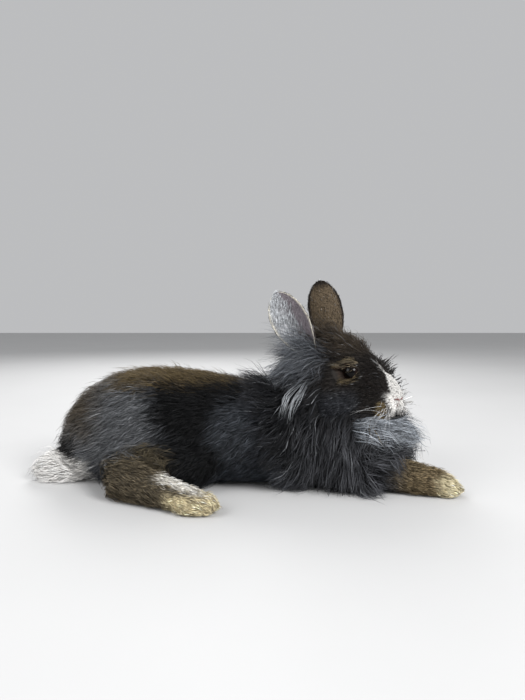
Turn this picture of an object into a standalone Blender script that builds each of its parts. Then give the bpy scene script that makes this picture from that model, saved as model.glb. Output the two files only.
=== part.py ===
"""A lionhead rabbit lying at rest, life size, head raised and turned to its right.

Sizes are in millimetres on a plan whose X runs from the rump to the chest, whose Y runs from the
animal's right side to its left and whose Z is height above the floor. to_metres() carries a plan
point to the scene, where the origin is the middle of the animal's box, at floor level.
"""

import math

import bpy
import bmesh
import numpy as np
from mathutils import Matrix, Vector
from mathutils.bvhtree import BVHTree

for old in list(bpy.data.objects):
    bpy.data.objects.remove(old)

# Driving sizes, in millimetres.
BOX_MIDDLE = (-18.0, 39.9)
SEAM_GAP = 0.3
# Locks keep this clear of the floor and of other nodes.
WOOL_GAP = 0.45
# Widths of fold at which a joined surface is tested for touching itself.
FOLDS = (0.0002, 0.001)
# Share of its faces that each remeshed form keeps.
HEAD_KEPT = 0.024
BODY_KEPT = 0.017
LEG_KEPT = 0.024
SKIN_SLACK = 0.7
RING_POINTS = 14

# The head's own mark is the point midway between the eyes, seen from above.
HEAD_MARK = (81.2, 40.0)
HEAD_TURN_DEG = 38.0

# Trunk ribs: x, height of the back, height of the belly, half width.
TRUNK_MIDDLE = ((-170.0, 63.0), (100.0, 47.0))
TRUNK_RIBS = [
    (-172, 40, 14, 10),
    (-166, 55, 5, 30),
    (-150, 76, -2, 46),
    (-125, 89, -3, 54),
    (-97, 94, -3, 57),
    (-65, 93, -3, 56),
    (-35, 88, -3, 53),
    (-5, 81, -3, 50),
    (22, 80, -3, 47),
    (48, 78, -2, 43),
    (72, 68, 1, 37),
    (90, 54, 8, 27),
    (99, 42, 20, 12),
]

# Neck ribs: nape point (x, z), throat point (x, z), middle y, half width.
NECK_RIBS = [
    ((2, 74), (52, 2), 53, 38),
    ((14, 88), (82, 4), 51, 37),
    ((28, 102), (101, 20), 49, 33),
    ((40, 112), (103, 42), 47, 27),
    ((50, 114), (96, 58), 46, 20),
]

# Locks: the least distance between roots, then each lock's length, width and lift over the skin.
LOCKS = {
    "neck": (12.3, 39.0, 16.5, 15.0),
    "head": (10.5, 29.0, 12.5, 8.5),
    "torso": (21.0, 37.0, 18.0, 3.5),
    "hindleg_right": (18.0, 34.0, 16.0, 3.5),
    "hindleg_left": (19.0, 34.0, 16.0, 3.5),
    "tail": (9.0, 20.0, 9.0, 4.0),
}
LOCK_SEED = 11
# Share of a node's locks that stays, at the least, when some are left out.
LOCKS_NEEDED = 0.75
LOCK_SUNK = 4.5
LOCK_LOWEST = 4.0
LOCK_THICK = 3.0
# Along a lock: share of the lift, of the width and of the thickness, from its root to its point.
LOCK_STATIONS = [
    (None, 0.65, 1.7),
    (0.75, 1.00, 1.5),
    (1.00, 0.80, 0.9),
    (0.60, 0.00, 0.0),
]
LOCK_FOLLOW = 0.65
# Above this height the mane lies flatter, by this share.
NAPE_FROM = 78.0
NAPE_LIFT = 0.55
LOCK_CURL_DEG = 9.0
# The mane spreads from a point inside the head.
MANE_CENTRE = (68.0, 47.0, 90.0)

# The chest's own swell behind the bib of locks: its middle and radii.
BIB = ((86, 41, 38), (30, 37, 35))

# Head ribs: brow point (forward, z), jaw point (forward, z), half width.
HEAD_RIBS = [
    ((38.0, 74), (34.0, 66), 5.0),
    ((38.0, 80), (26, 53), 10.5),
    ((33, 88), (16, 45), 13.5),
    ((24, 97), (6, 42), 15.5),
    ((13, 107), (-4, 42), 18.5),
    ((1, 116), (-13, 45), 21.0),
    ((-11, 122), (-21, 51), 23.5),
    ((-23, 124), (-29, 58), 24.0),
    ((-34, 120), (-36, 68), 20.5),
    ((-42, 110), (-41, 82), 12.0),
]
# Pads of the head: forward, right, z, then radii the same way. Each is on both sides.
HEAD_PADS = {
    "whisker": ((25.0, 7.4, 66), (12, 7.6, 9.2)),
    "chin": ((18, 0, 51.5), (10, 8.5, 7)),
    "cheek": ((-10, 14.5, 70), (19, 13, 19)),
    "brow": ((-1, 14.8, 101), (9, 4.5, 3.4)),
}

# Hind feet: heel and toe points (x, y), then ribs: share of the length, top, half width.
HIND_FOOT = {"right": ((-120.0, -1.0), (-36.0, -40.0)), "left": ((-114.0, 116.0), (-24.0, 113.0))}
FOOT_RIBS = [
    (0.00, 15, 5),
    (0.06, 25, 10),
    (0.18, 30, 12),
    (0.36, 27, 12),
    (0.54, 23, 11.5),
    (0.70, 19, 12),
    (0.84, 16, 12.5),
    (0.94, 12, 10.5),
    (1.00, 7, 6),
]
# A hind foot's own node reaches this far inside its middle line, and up to this height.
FOOT_INNER = 14.0
FOOT_TOP = 31.5
THIGH = {"right": (-94, 33, 46), "left": (-90, 84, 46)}
THIGH_RADII = (50, 27, 43)
# The leg's own share of the haunch lies in an ellipsoid round its outer side.
HAUNCH = {"right": (-94, 6, 44), "left": (-90, 112, 44)}
HAUNCH_RADII = (53, 31, 46)
KNEE = {"right": (-54, 20, 28), "left": (-50, 94, 28)}
KNEE_RADII = (27, 17, 25)
SHANK = {"right": (-84, 9, 20), "left": (-80, 103, 20)}
SHANK_RADII = (44, 17, 20)

# A foreleg's own node starts at this rib.
FOREARM_FROM = 2

# Forelegs, from the elbow to the paw: x, y, top, half width.
FORELEG = {
    "right": [
        (52, 27, 44, 17),
        (74, 20, 38, 15),
        (95, 13, 31, 13),
        (113, 7, 27, 12.5),
        (128, 3, 24, 13.5),
        (141, 1, 20, 13.5),
        (149, 0, 15, 10.5),
        (153, 0, 9, 6),
    ],
    "left": [
        (36, 76, 44, 17),
        (58, 77, 38, 15),
        (76, 75, 31, 13),
        (91, 71, 26, 12.5),
        (104, 67, 23, 13.5),
        (114, 65, 19, 13.5),
        (121, 64, 14, 10.5),
        (125, 64, 8, 6),
    ],
}

# Toes: how far ahead of the tip's middle, out to the side, height, then length, width and height.
HIND_TOES = [(-2, -8.5, 6), (3, -3, 6.5), (2, 3, 6.5), (-8, 8.5, 6)]
FORE_TOES = [(-4, -9, 5.5), (1, -3.4, 6), (1.5, 3, 6), (-3, 8.8, 5.5)]
TOE_RADII = {"hind": (11, 4.6, 6.5), "fore": (8.5, 4.1, 5.8)}
# Claws: length and thickness at the root.
CLAW = (5.0, 2.0)
CLAW_SUNK = 1.6

# Tail: x, y, top, half width, from its root to its tip.
TAIL_RIBS = [
    (-140, 50, 30, 13),
    (-152, 46, 26, 13),
    (-166, 43, 23, 12),
    (-178, 41, 20, 9.5),
    (-187, 40, 15, 5.5),
]

# Mouth, the cleft of the upper lip and a nostril: forward, right, z of points near the skin.
MOUTH_LINE = [(34, 0, 62), (32, 4, 60), (28, 9, 57), (22, 12, 54)]
LIP_CLEFT = [(40, 0, 70), (38, 0, 66), (34, 0, 62)]
NOSTRIL = [(39, 2.6, 71.5), (37, 5.0, 73), (35, 6.6, 73)]
MOUTH_GROOVE = 0.9
NOSTRIL_GROOVE = 1.1

# Eyes: forward, right, z, and sizes.
EYE_AT = (0.5, 14.4, 93.0)
EYE_RADIUS = 7.4
EYE_FORWARD_DEG = 14.0
EYE_UP_DEG = 6.0
LID_RADIUS = 6.3
LID_THICKNESS = 1.6

# Ears: base (forward, right, z), tip on the plan, and the way each cup opens.
EAR_BASE = {"right": (-34, 17, 103), "left": (-34, -17, 103)}
EAR_TIP = {"right": (10.5, 45, 158), "left": (51, 75, 170)}
EAR_OPENS = {"right": (-0.25, -0.95, 0.0), "left": (0.15, 0.98, 0.0)}
EAR_WALL = 1.9
# Share of the ear's length, half width laid flat, radius of the cup.
EAR_OUTLINE = [
    (0.00, 8.2, 4.8),
    (0.12, 11.5, 6.8),
    (0.30, 16.0, 12.0),
    (0.50, 18.5, 18.0),
    (0.70, 17.5, 20.0),
    (0.85, 13.0, 20.0),
    (0.95, 7.5, 18.0),
    (1.00, 2.0, 17.0),
]


def to_metres(point):
    """Plan millimetres to scene metres."""
    x, y, z = point
    return Vector((x - BOX_MIDDLE[0], y - BOX_MIDDLE[1], z)) * 0.001


def head_axes():
    """The head's forward and right directions, both level."""
    turn = math.radians(HEAD_TURN_DEG)
    forward = Vector((math.cos(turn), -math.sin(turn), 0))
    right = Vector((-math.sin(turn), -math.cos(turn), 0))
    return forward, right


def head_plan(forward, right, z):
    """A point forward of the head's mark and to the animal's right, as a plan point."""
    ahead, across = head_axes()
    spot = Vector((*HEAD_MARK, z)) + ahead * forward + across * right
    return tuple(spot)


def trunk_middle(x):
    (x0, y0), (x1, y1) = TRUNK_MIDDLE
    return y0 + (y1 - y0) * (x - x0) / (x1 - x0)


def collection_named(name):
    made = bpy.data.collections.new(name)
    bpy.context.scene.collection.children.link(made)
    return made


def object_from(mesh, name="piece"):
    made = bpy.data.objects.new(name, mesh)
    WORKSHOP.objects.link(made)
    return made


def adopted(obj):
    """Moves an object that an operator made into the workshop."""
    for group in list(obj.users_collection):
        group.objects.unlink(obj)
    WORKSHOP.objects.link(obj)
    return obj


def applied(obj):
    """The object with its modifiers made real."""
    bpy.context.view_layer.update()
    graph = bpy.context.evaluated_depsgraph_get()
    mesh = bpy.data.meshes.new_from_object(obj.evaluated_get(graph))
    obj.modifiers.clear()
    obj.data = mesh
    return obj


def discard(objects):
    for obj in objects:
        bpy.data.objects.remove(obj)


def loft(ribs, rounds=1):
    """A closed body through elliptical ribs, each (high point, low point, half width, across)."""
    turns = np.linspace(0, 2 * math.pi, RING_POINTS, endpoint=False)
    rings = []
    for high, low, half_width, across in ribs:
        high, low, across = (np.array(v) for v in (high, low, across))
        upright = np.outer(np.cos(turns), (high - low) / 2)
        sideways = np.outer(np.sin(turns), across * half_width)
        rings.append((high + low) / 2 + upright + sideways)
    points = np.concatenate(rings)
    count = len(ribs)
    faces = [
        (
            i * RING_POINTS + j,
            i * RING_POINTS + (j + 1) % RING_POINTS,
            (i + 1) * RING_POINTS + (j + 1) % RING_POINTS,
            (i + 1) * RING_POINTS + j,
        )
        for i in range(count - 1)
        for j in range(RING_POINTS)
    ]
    faces.append(tuple(range(RING_POINTS)))
    faces.append(tuple(range((count - 1) * RING_POINTS, count * RING_POINTS)))
    mesh = bpy.data.meshes.new("loft")
    mesh.from_pydata([tuple(p) for p in points], [], faces)
    face_out(mesh)
    obj = object_from(mesh)
    smooth = obj.modifiers.new("Smooth form", "SUBSURF")
    smooth.levels = smooth.render_levels = rounds
    return applied(obj)


def face_out(mesh):
    shape = bmesh.new()
    shape.from_mesh(mesh)
    bmesh.ops.recalc_face_normals(shape, faces=shape.faces)
    shape.to_mesh(mesh)
    shape.free()


def ellipsoid(middle, radii, across=None, segments=20):
    """An ellipsoid with its middle and radii on the plan; across turns its second axis."""
    shape = bmesh.new()
    bmesh.ops.create_uvsphere(shape, u_segments=segments, v_segments=segments // 2, radius=1)
    second = Vector(across or (0, 1, 0)).normalized()
    first = second.cross(Vector((0, 0, 1)))
    centre = to_metres(middle)
    for vertex in shape.verts:
        x, y, z = (c * r * 0.001 for c, r in zip(vertex.co, radii))
        vertex.co = centre + first * x + second * y + Vector((0, 0, z))
    bmesh.ops.recalc_face_normals(shape, faces=shape.faces)
    mesh = bpy.data.meshes.new("ellipsoid")
    shape.to_mesh(mesh)
    shape.free()
    return object_from(mesh)


def joined(objects):
    """One mesh object that holds all the pieces, still separate shells."""
    shape = bmesh.new()
    for obj in objects:
        shape.from_mesh(obj.data)
    mesh = bpy.data.meshes.new("joined")
    shape.to_mesh(mesh)
    shape.free()
    discard(objects)
    return object_from(mesh)


def fused(pieces, voxel, smoothing, kept_share=1.0):
    """The pieces melted into one closed skin by remeshing, then eased and thinned."""
    obj = joined(pieces)
    remesh = obj.modifiers.new("Melt", "REMESH")
    remesh.mode = "VOXEL"
    remesh.voxel_size = voxel * 0.001
    if smoothing:
        ease = obj.modifiers.new("Ease", "SMOOTH")
        ease.factor = 0.5
        ease.iterations = smoothing
    if kept_share < 1:
        thin = obj.modifiers.new("Thin", "DECIMATE")
        thin.ratio = kept_share
    return applied(obj)


def boolean(obj, operation, others, solver="MANIFOLD"):
    """Joins, cuts or keeps what obj shares with the others, which are then removed."""
    group = bpy.data.collections.new("operands")
    for other in others:
        group.objects.link(other)
    step = obj.modifiers.new(operation, "BOOLEAN")
    step.operation = operation
    step.operand_type = "COLLECTION"
    step.collection = group
    step.solver = solver
    applied(obj)
    discard(others)
    bpy.data.collections.remove(group)
    return obj


def copy_of(obj):
    return object_from(obj.data.copy())


def grown(obj, gap=SEAM_GAP):
    """A copy of obj whose faces have all moved out by the gap."""
    shape = bmesh.new()
    shape.from_mesh(obj.data)
    shape.normal_update()
    step = gap * 0.001
    moves = []
    for vertex in shape.verts:
        normals = np.array([face.normal for face in vertex.link_faces])
        move = np.linalg.lstsq(normals, np.full(len(normals), step), rcond=0.05)[0]
        length = np.linalg.norm(move)
        moves.append(Vector(move * min(1.0, 2.5 * step / max(length, 1e-9))))
    for vertex, move in zip(shape.verts, moves):
        vertex.co += move
    mesh = bpy.data.meshes.new("grown")
    shape.to_mesh(mesh)
    shape.free()
    return object_from(mesh)


def shells_of(shape):
    """The mesh's faces in groups, each group joined across edges that two faces share."""
    waiting = set(shape.faces)
    shells = []
    while waiting:
        front = [waiting.pop()]
        shell = []
        while front:
            face = front.pop()
            shell.append(face)
            for edge in face.edges:
                if len(edge.link_faces) != 2:
                    continue
                for near in edge.link_faces:
                    if near in waiting:
                        waiting.remove(near)
                        front.append(near)
        shells.append(shell)
    return sorted(shells, key=volume_inside, reverse=True)


def volume_inside(faces):
    corners = np.array([[vertex.co for vertex in face.verts] for face in faces])
    return float(np.linalg.det(corners).sum())


def largest_shell(obj):
    """Keeps only the largest closed surface of obj."""
    shape = bmesh.new()
    shape.from_mesh(obj.data)
    bmesh.ops.triangulate(shape, faces=shape.faces)
    spare = [face for shell in shells_of(shape)[1:] for face in shell]
    bmesh.ops.delete(shape, geom=spare, context="FACES")
    shape.to_mesh(obj.data)
    shape.free()
    return obj


def flaws(obj):
    """Points where obj touches itself or comes apart once points less than a fold apart are made one."""
    for fold in FOLDS:
        shape = bmesh.new()
        shape.from_mesh(obj.data)
        bmesh.ops.remove_doubles(shape, verts=shape.verts, dist=fold * 0.001)
        spots = [edge.verts[0].co.copy() for edge in shape.edges if not edge.is_manifold]
        spots += [shell[0].verts[0].co.copy() for shell in shells_of(shape)[1:]]
        shape.free()
        if spots:
            return spots
    return []


def outline_block(outline, half_depth, place):
    """A flat outline pushed out to both sides; place(u, side, v) gives each corner."""
    count = len(outline)
    corners = [to_metres(place(u, side, v)) for side in (-half_depth, half_depth) for u, v in outline]
    faces = [(i, (i + 1) % count, count + (i + 1) % count, count + i) for i in range(count)]
    faces.append(tuple(range(count)))
    faces.append(tuple(range(count, 2 * count)))
    mesh = bpy.data.meshes.new("block")
    mesh.from_pydata(corners, [], faces)
    face_out(mesh)
    return object_from(mesh)


def floor_block(top=0.0):
    outline = [(-400, -80), (400, -80), (400, top), (-400, top)]
    return outline_block(outline, 400, lambda u, s, v: (u, s, v))


def trunk():
    ribs = []
    for x, back, belly, half_width in TRUNK_RIBS:
        y = trunk_middle(x)
        ribs.append((to_metres((x, y, back)), to_metres((x, y, belly)), half_width * 0.001, (0, 1, 0)))
    return loft(ribs, 2)


def neck():
    ribs = []
    for (nape_x, nape_z), (throat_x, throat_z), y, half_width in NECK_RIBS:
        high, low = to_metres((nape_x, y, nape_z)), to_metres((throat_x, y, throat_z))
        ribs.append((high, low, half_width * 0.001, (0, 1, 0)))
    return loft(ribs, 2)


def head():
    across = head_axes()[1]
    ribs = []
    for (brow_ahead, brow_z), (jaw_ahead, jaw_z), half_width in HEAD_RIBS:
        high = to_metres(head_plan(brow_ahead, 0, brow_z))
        low = to_metres(head_plan(jaw_ahead, 0, jaw_z))
        ribs.append((high, low, half_width * 0.001, across))
    pieces = [loft(ribs, 2)]
    for (ahead, right, z), radii in HEAD_PADS.values():
        for side in (1, -1) if right else (1,):
            pieces.append(ellipsoid(head_plan(ahead, side * right, z), radii, across))
    return pieces


def foot_ribs(side):
    (heel_x, heel_y), (toe_x, toe_y) = HIND_FOOT[side]
    along = Vector((toe_x - heel_x, toe_y - heel_y, 0))
    across = along.normalized().cross(Vector((0, 0, 1)))
    ribs = []
    for share, top, half_width in FOOT_RIBS:
        spot = Vector((heel_x, heel_y, 0)) + along * share
        high, low = to_metres((spot.x, spot.y, top)), to_metres((spot.x, spot.y, -1.5))
        ribs.append((high, low, half_width * 0.001, across))
    return ribs


def strip_ribs(stations, low=-1.5):
    """Ribs along a limb or tail given as x, y, top, half width; each rib stands across its way."""
    ribs = []
    for i, (x, y, top, half_width) in enumerate(stations):
        before, after = stations[max(i - 1, 0)], stations[min(i + 1, len(stations) - 1)]
        along = Vector((after[0] - before[0], after[1] - before[1], 0)).normalized()
        across = along.cross(Vector((0, 0, 1)))
        ribs.append((to_metres((x, y, top)), to_metres((x, y, low)), half_width * 0.001, across))
    return ribs


def toe_places(kind, side):
    """Each toe's middle on the plan and the foot's own way ahead, level."""
    if kind == "hind":
        (heel_x, heel_y), tip = HIND_FOOT[side]
        ahead = Vector((tip[0] - heel_x, tip[1] - heel_y, 0)).normalized()
        offsets, back = HIND_TOES, 9
    else:
        (from_x, from_y, _, _), (tip_x, tip_y, _, _) = FORELEG[side][-4], FORELEG[side][-1]
        ahead = Vector((tip_x - from_x, tip_y - from_y, 0)).normalized()
        tip, offsets, back = (tip_x, tip_y), FORE_TOES, 7
    out = ahead.cross(Vector((0, 0, 1))) * (1 if side == "right" else -1)
    return [
        (Vector((*tip, 0)) + ahead * (forth - back) + out * across + Vector((0, 0, z)), ahead)
        for forth, across, z in offsets
    ]


def toes(kind, side):
    made = []
    for middle, ahead in toe_places(kind, side):
        across = ahead.cross(Vector((0, 0, 1)))
        made.append(ellipsoid(middle, TOE_RADII[kind], -across))
    return made


def claws(foot, kind, side):
    """A short cone seated in the skin at the end of each toe, pointing ahead and down."""
    length, thick = CLAW
    made = []
    for middle, ahead in toe_places(kind, side):
        way = (ahead + Vector((0, 0, -0.22))).normalized()
        root = on_surface(foot, middle + ahead * TOE_RADII[kind][0])
        bpy.ops.mesh.primitive_cone_add(
            vertices=6, radius1=thick * 0.0005, radius2=0.0003, depth=length * 0.001
        )
        cone = bpy.context.object
        turn = way.to_track_quat("Z", "Y").to_matrix().to_4x4()
        shift = Matrix.Translation(root + way * (length / 2 - CLAW_SUNK) * 0.001)
        cone.data.transform(shift @ turn)
        made.append(adopted(cone))
    return made


def hind_leg(side):
    return [
        loft(foot_ribs(side), 2),
        *toes("hind", side),
        ellipsoid(THIGH[side], THIGH_RADII),
        ellipsoid(KNEE[side], KNEE_RADII),
        ellipsoid(SHANK[side], SHANK_RADII),
    ]


def foreleg(side):
    return [loft(strip_ribs(FORELEG[side]), 2), *toes("fore", side)]


def forearm(side):
    """The share of a foreleg that stands clear of the chest's wool."""
    return [loft(strip_ribs(FORELEG[side][FOREARM_FROM:]), 2), *toes("fore", side)]


def tail():
    return [loft(strip_ribs(TAIL_RIBS, 1.0), 2)]


def mouth_and_nostrils(skull):
    """Thin tubes along the mouth, up the cleft of the lip and along each nostril's slit."""
    cuts = []
    for sign in (1, -1):
        line = [on_surface(skull, head_plan(a, sign * r, z)) for a, r, z in MOUTH_LINE]
        cuts.append(tube(line, MOUTH_GROOVE))
        slit = [on_surface(skull, head_plan(a, sign * r, z)) for a, r, z in NOSTRIL]
        cuts.append(tube(slit, NOSTRIL_GROOVE))
    cleft = [on_surface(skull, head_plan(*spot)) for spot in LIP_CLEFT]
    cuts.append(tube(cleft, MOUTH_GROOVE))
    return cuts


def region_round(pieces, margin):
    """A closed solid that holds the pieces with a margin round them, in millimetres."""
    core = fused(pieces, 4.0, 3)
    wider = grown(core, margin)
    discard([core])
    return fused([wider], 6.0, 2, 0.3)


def parted(whole, region):
    """Cuts the region's share out of whole and returns it; a thin seam is left between them."""
    piece = copy_of(whole)
    wider = grown(region)
    boolean(piece, "INTERSECT", [region])
    boolean(whole, "DIFFERENCE", [wider])
    largest_shell(whole)
    return largest_shell(piece)


def foot_region(side):
    """The low block that holds a hind foot, cut off just inside it along its length."""
    (heel_x, heel_y), (toe_x, toe_y) = HIND_FOOT[side]
    length = math.hypot(toe_x - heel_x, toe_y - heel_y)
    ahead_x, ahead_y = (toe_x - heel_x) / length, (toe_y - heel_y) / length
    sign = 1 if side == "right" else -1
    half_depth = 40
    shift = half_depth - FOOT_INNER

    def place(u, s, v):
        s = (s + shift) * sign
        return heel_x + ahead_x * u + ahead_y * s, heel_y + ahead_y * u - ahead_x * s, v

    outline = [(-30, -20), (-30, FOOT_TOP), (140, FOOT_TOP), (140, -20)]
    return outline_block(outline, half_depth, place)


def head_region():
    """What lies ahead of the nape and above the throat."""
    outline = [(-22, 47), (-46, 122), (-46, 200), (100, 200), (100, 42), (20, 40)]
    return outline_block(outline, 90, head_plan)


def neck_region():
    """What lies ahead of a slope from the withers to the lower chest."""
    outline = [(22, 130), (8, 72), (52, -20), (200, -20), (200, 130)]
    return outline_block(outline, 120, lambda u, s, v: (u, 50 + s, v))


def eye_axis(side):
    """The way an eye looks: out to its side, a little ahead and a little up."""
    forward, right = head_axes()
    ahead, up = math.radians(EYE_FORWARD_DEG), math.radians(EYE_UP_DEG)
    out = right * side * math.cos(ahead) + forward * math.sin(ahead)
    return (out * math.cos(up) + Vector((0, 0, math.sin(up)))).normalized()


def eyeball(side, radius):
    shape = bmesh.new()
    bmesh.ops.create_uvsphere(shape, u_segments=16, v_segments=8, radius=radius * 0.001)
    centre = to_metres(head_plan(EYE_AT[0], EYE_AT[1] * side, EYE_AT[2]))
    turn = eye_axis(side).to_track_quat("Z", "Y")
    for vertex in shape.verts:
        vertex.co = centre + turn @ vertex.co
    mesh = bpy.data.meshes.new("eyeball")
    shape.to_mesh(mesh)
    shape.free()
    return object_from(mesh)


def lid_ring(side):
    """The two lids as one rounded ring that lies on the eyeball's edge."""
    out = eye_axis(side)
    seat = math.sqrt(EYE_RADIUS**2 - LID_RADIUS**2) + 0.2
    centre = to_metres(head_plan(EYE_AT[0], EYE_AT[1] * side, EYE_AT[2])) + out * seat * 0.001
    bpy.ops.mesh.primitive_torus_add(
        major_radius=(LID_RADIUS + 0.5) * 0.001,
        minor_radius=LID_THICKNESS * 0.001,
        major_segments=18,
        minor_segments=5,
    )
    ring = adopted(bpy.context.object)
    ring.data.transform(out.to_track_quat("Z", "Y").to_matrix().to_4x4())
    ring.data.transform(Matrix.Translation(centre))
    return ring


def ear(side):
    """A cupped blade: arcs set along the ear's axis, with the wall's thickness added outward."""
    base = to_metres(head_plan(*EAR_BASE[side]))
    along = to_metres(EAR_TIP[side]) - base
    opens = Vector(EAR_OPENS[side])
    opens = (opens - along * opens.dot(along) / along.length_squared).normalized()
    across = along.normalized().cross(opens)
    shares, half_widths, radii = (np.array(c) for c in zip(*EAR_OUTLINE))
    rows, columns = 12, 7
    points = []
    for share in 1 - (1 - np.linspace(0, 1, rows)) ** 1.25:
        half_width = float(np.interp(share, shares, half_widths)) * 0.001
        radius = float(np.interp(share, shares, radii)) * 0.001
        centre = base + along * float(share)
        for swing in np.linspace(-1, 1, columns) * half_width / radius:
            lift = opens * radius * (1 - math.cos(swing))
            points.append(centre + across * radius * math.sin(swing) + lift)
    faces = [
        (i * columns + j, i * columns + j + 1, (i + 1) * columns + j + 1, (i + 1) * columns + j)
        for i in range(rows - 1)
        for j in range(columns - 1)
    ]
    mesh = bpy.data.meshes.new("ear")
    mesh.from_pydata(points, [], faces)
    obj = object_from(mesh)
    wall = obj.modifiers.new("Wall", "SOLIDIFY")
    wall.thickness = EAR_WALL * 0.001
    wall.offset = 0
    applied(obj)
    face_out(obj.data)
    return obj


def on_surface(obj, point):
    """The nearest point of obj to a plan point, in scene metres."""
    tree = BVHTree.FromObject(obj, bpy.context.evaluated_depsgraph_get())
    return tree.find_nearest(to_metres(point))[0]


def tube(points, radius):
    """A round closed tube through scene points."""
    data = bpy.data.curves.new("tube", "CURVE")
    data.dimensions = "3D"
    data.bevel_depth = radius * 0.001
    data.bevel_resolution = 2
    data.use_fill_caps = True
    line = data.splines.new("POLY")
    line.points.add(len(points) - 1)
    for spot, point in zip(line.points, points):
        spot.co = (*point, 1)
    guide = object_from(data)
    bpy.context.view_layer.update()
    graph = bpy.context.evaluated_depsgraph_get()
    mesh = bpy.data.meshes.new_from_object(guide.evaluated_get(graph))
    bpy.data.objects.remove(guide)
    shape = bmesh.new()
    shape.from_mesh(mesh)
    bmesh.ops.remove_doubles(shape, verts=shape.verts, dist=1e-6)
    bmesh.ops.recalc_face_normals(shape, faces=shape.faces)
    shape.to_mesh(mesh)
    shape.free()
    return object_from(mesh)


def material(name, colour, roughness):
    """A plain surface; the colour is a hex string of sRGB."""
    made = bpy.data.materials.new(name)
    made.use_nodes = True
    surface = made.node_tree.nodes["Principled BSDF"]
    parts = [int(colour[i : i + 2], 16) / 255 for i in (0, 2, 4)]
    linear = [c / 12.92 if c <= 0.04045 else ((c + 0.055) / 1.055) ** 2.4 for c in parts]
    surface.inputs["Base Color"].default_value = (*linear, 1)
    surface.inputs["Roughness"].default_value = roughness
    made.diffuse_color = (*linear, 1)
    return made


# The nodes that each locked node's locks may meet, in the order in which the locks are joined.
NEIGHBOURS = {
    "head": ("neck", "ear_right", "ear_left", "eye_right", "eye_left", "foreleg_right"),
    "tail": ("torso", "hindleg_right", "hindfoot_right"),
    "hindleg_right": ("torso", "hindfoot_right", "tail"),
    "hindleg_left": ("torso", "hindfoot_left", "tail"),
    "neck": ("head", "torso", "foreleg_right", "foreleg_left", "ear_right", "ear_left"),
    "torso": ("neck", "hindleg_right", "hindleg_left", "tail", "hindfoot_right", "hindfoot_left"),
}


def skin_tree(obj):
    return BVHTree.FromObject(obj, bpy.context.evaluated_depsgraph_get())


def skin_points(obj, count, dice):
    """Points spread evenly by chance over the skin, each with its normal."""
    obj.data.calc_loop_triangles()
    corners = np.array([[obj.data.vertices[i].co for i in t.vertices] for t in obj.data.loop_triangles])
    cross = np.cross(corners[:, 1] - corners[:, 0], corners[:, 2] - corners[:, 0])
    sizes = np.linalg.norm(cross, axis=1)
    picked = dice.choice(len(corners), count, p=sizes / sizes.sum())
    a, b = dice.random((2, count))
    flip = a + b > 1
    a[flip], b[flip] = 1 - a[flip], 1 - b[flip]
    three = corners[picked]
    spots = three[:, 0] + (three[:, 1] - three[:, 0]) * a[:, None] + (three[:, 2] - three[:, 0]) * b[:, None]
    normals = cross[picked] / sizes[picked, None]
    return [(Vector(spot), Vector(normal)) for spot, normal in zip(spots, normals)]


def lie(name, spot, up):
    """The way the coat runs at a spot of the named node, along the skin."""
    forward, _ = head_axes()
    down = Vector((0, 0, -1))
    if name == "neck":
        way = (spot - to_metres(MANE_CENTRE)).normalized() + down * 0.45
    elif name == "head":
        way = down * 0.9 - forward * 0.7
    elif name == "tail":
        way = Vector((-1, -0.1, 0))
    else:
        way = Vector((-1, 0, 0)) + down * 0.55
    way = way - up * way.dot(up)
    return way.normalized()


def grows_lock(name, spot):
    """Whether the coat is long at a spot of the named node."""
    forward, right = head_axes()
    away = spot - to_metres((*HEAD_MARK, 0))
    ahead, z = away.dot(forward) * 1000, spot.z * 1000
    x = spot.x * 1000 + BOX_MIDDLE[0]
    if name == "neck":
        return z > 9 and (x < 108 or z > 30)
    if name == "head":
        beside_chin = ahead < 12 or abs(away.dot(right)) * 1000 > 14
        return (ahead < -14 and z < 112) or (beside_chin and z < 60)
    if name == "torso":
        return 14 < z and (x < -128 or z < 46 or (x > 0 and z < 70))
    if name == "tail":
        return z > 7
    return z > 22


def lock(name, tree, root, up, size, dice):
    """One flat lock: it leaves the skin, lies back over it with a slight curl and ends in a point."""
    length, width, lift = (value * dice.uniform(0.82, 1.18) * 0.001 for value in size)
    length = min(length, root.z + LOCK_LOWEST * 0.001)
    if root.z > NAPE_FROM * 0.001:
        lift *= NAPE_LIFT
    curl = math.radians(dice.normal(0, LOCK_CURL_DEG))
    spot = root
    rings = []
    for lifted, wide, thick in LOCK_STATIONS:
        way = lie(name, spot, up)
        way = Matrix.Rotation(curl * len(rings), 3, up) @ way
        side = way.cross(up).normalized() * width * wide / 2
        height = -LOCK_SUNK * 0.001 if lifted is None else lift * lifted
        middle = spot + up * height
        ridge = up * LOCK_THICK * 0.001 * thick
        rings.append((middle - side, middle + ridge, middle + side) if wide else (middle,))
        ahead = spot + way * length / (len(LOCK_STATIONS) - 1)
        near, near_up, _, _ = tree.find_nearest(ahead)
        spot = ahead.lerp(near, LOCK_FOLLOW)
        up = (up + near_up).normalized()
    shape = bmesh.new()
    rows = [[shape.verts.new(point) for point in ring] for ring in rings]
    shape.faces.new(rows[0])
    for before, after in zip(rows, rows[1:]):
        for i in range(3):
            j = (i + 1) % 3
            if len(after) == 1:
                shape.faces.new((before[i], before[j], after[0]))
            else:
                shape.faces.new((before[i], before[j], after[j]))
                shape.faces.new((before[i], after[j], after[i]))
    bmesh.ops.recalc_face_normals(shape, faces=shape.faces)
    mesh = bpy.data.meshes.new("lock")
    shape.to_mesh(mesh)
    shape.free()
    return object_from(mesh)


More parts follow.
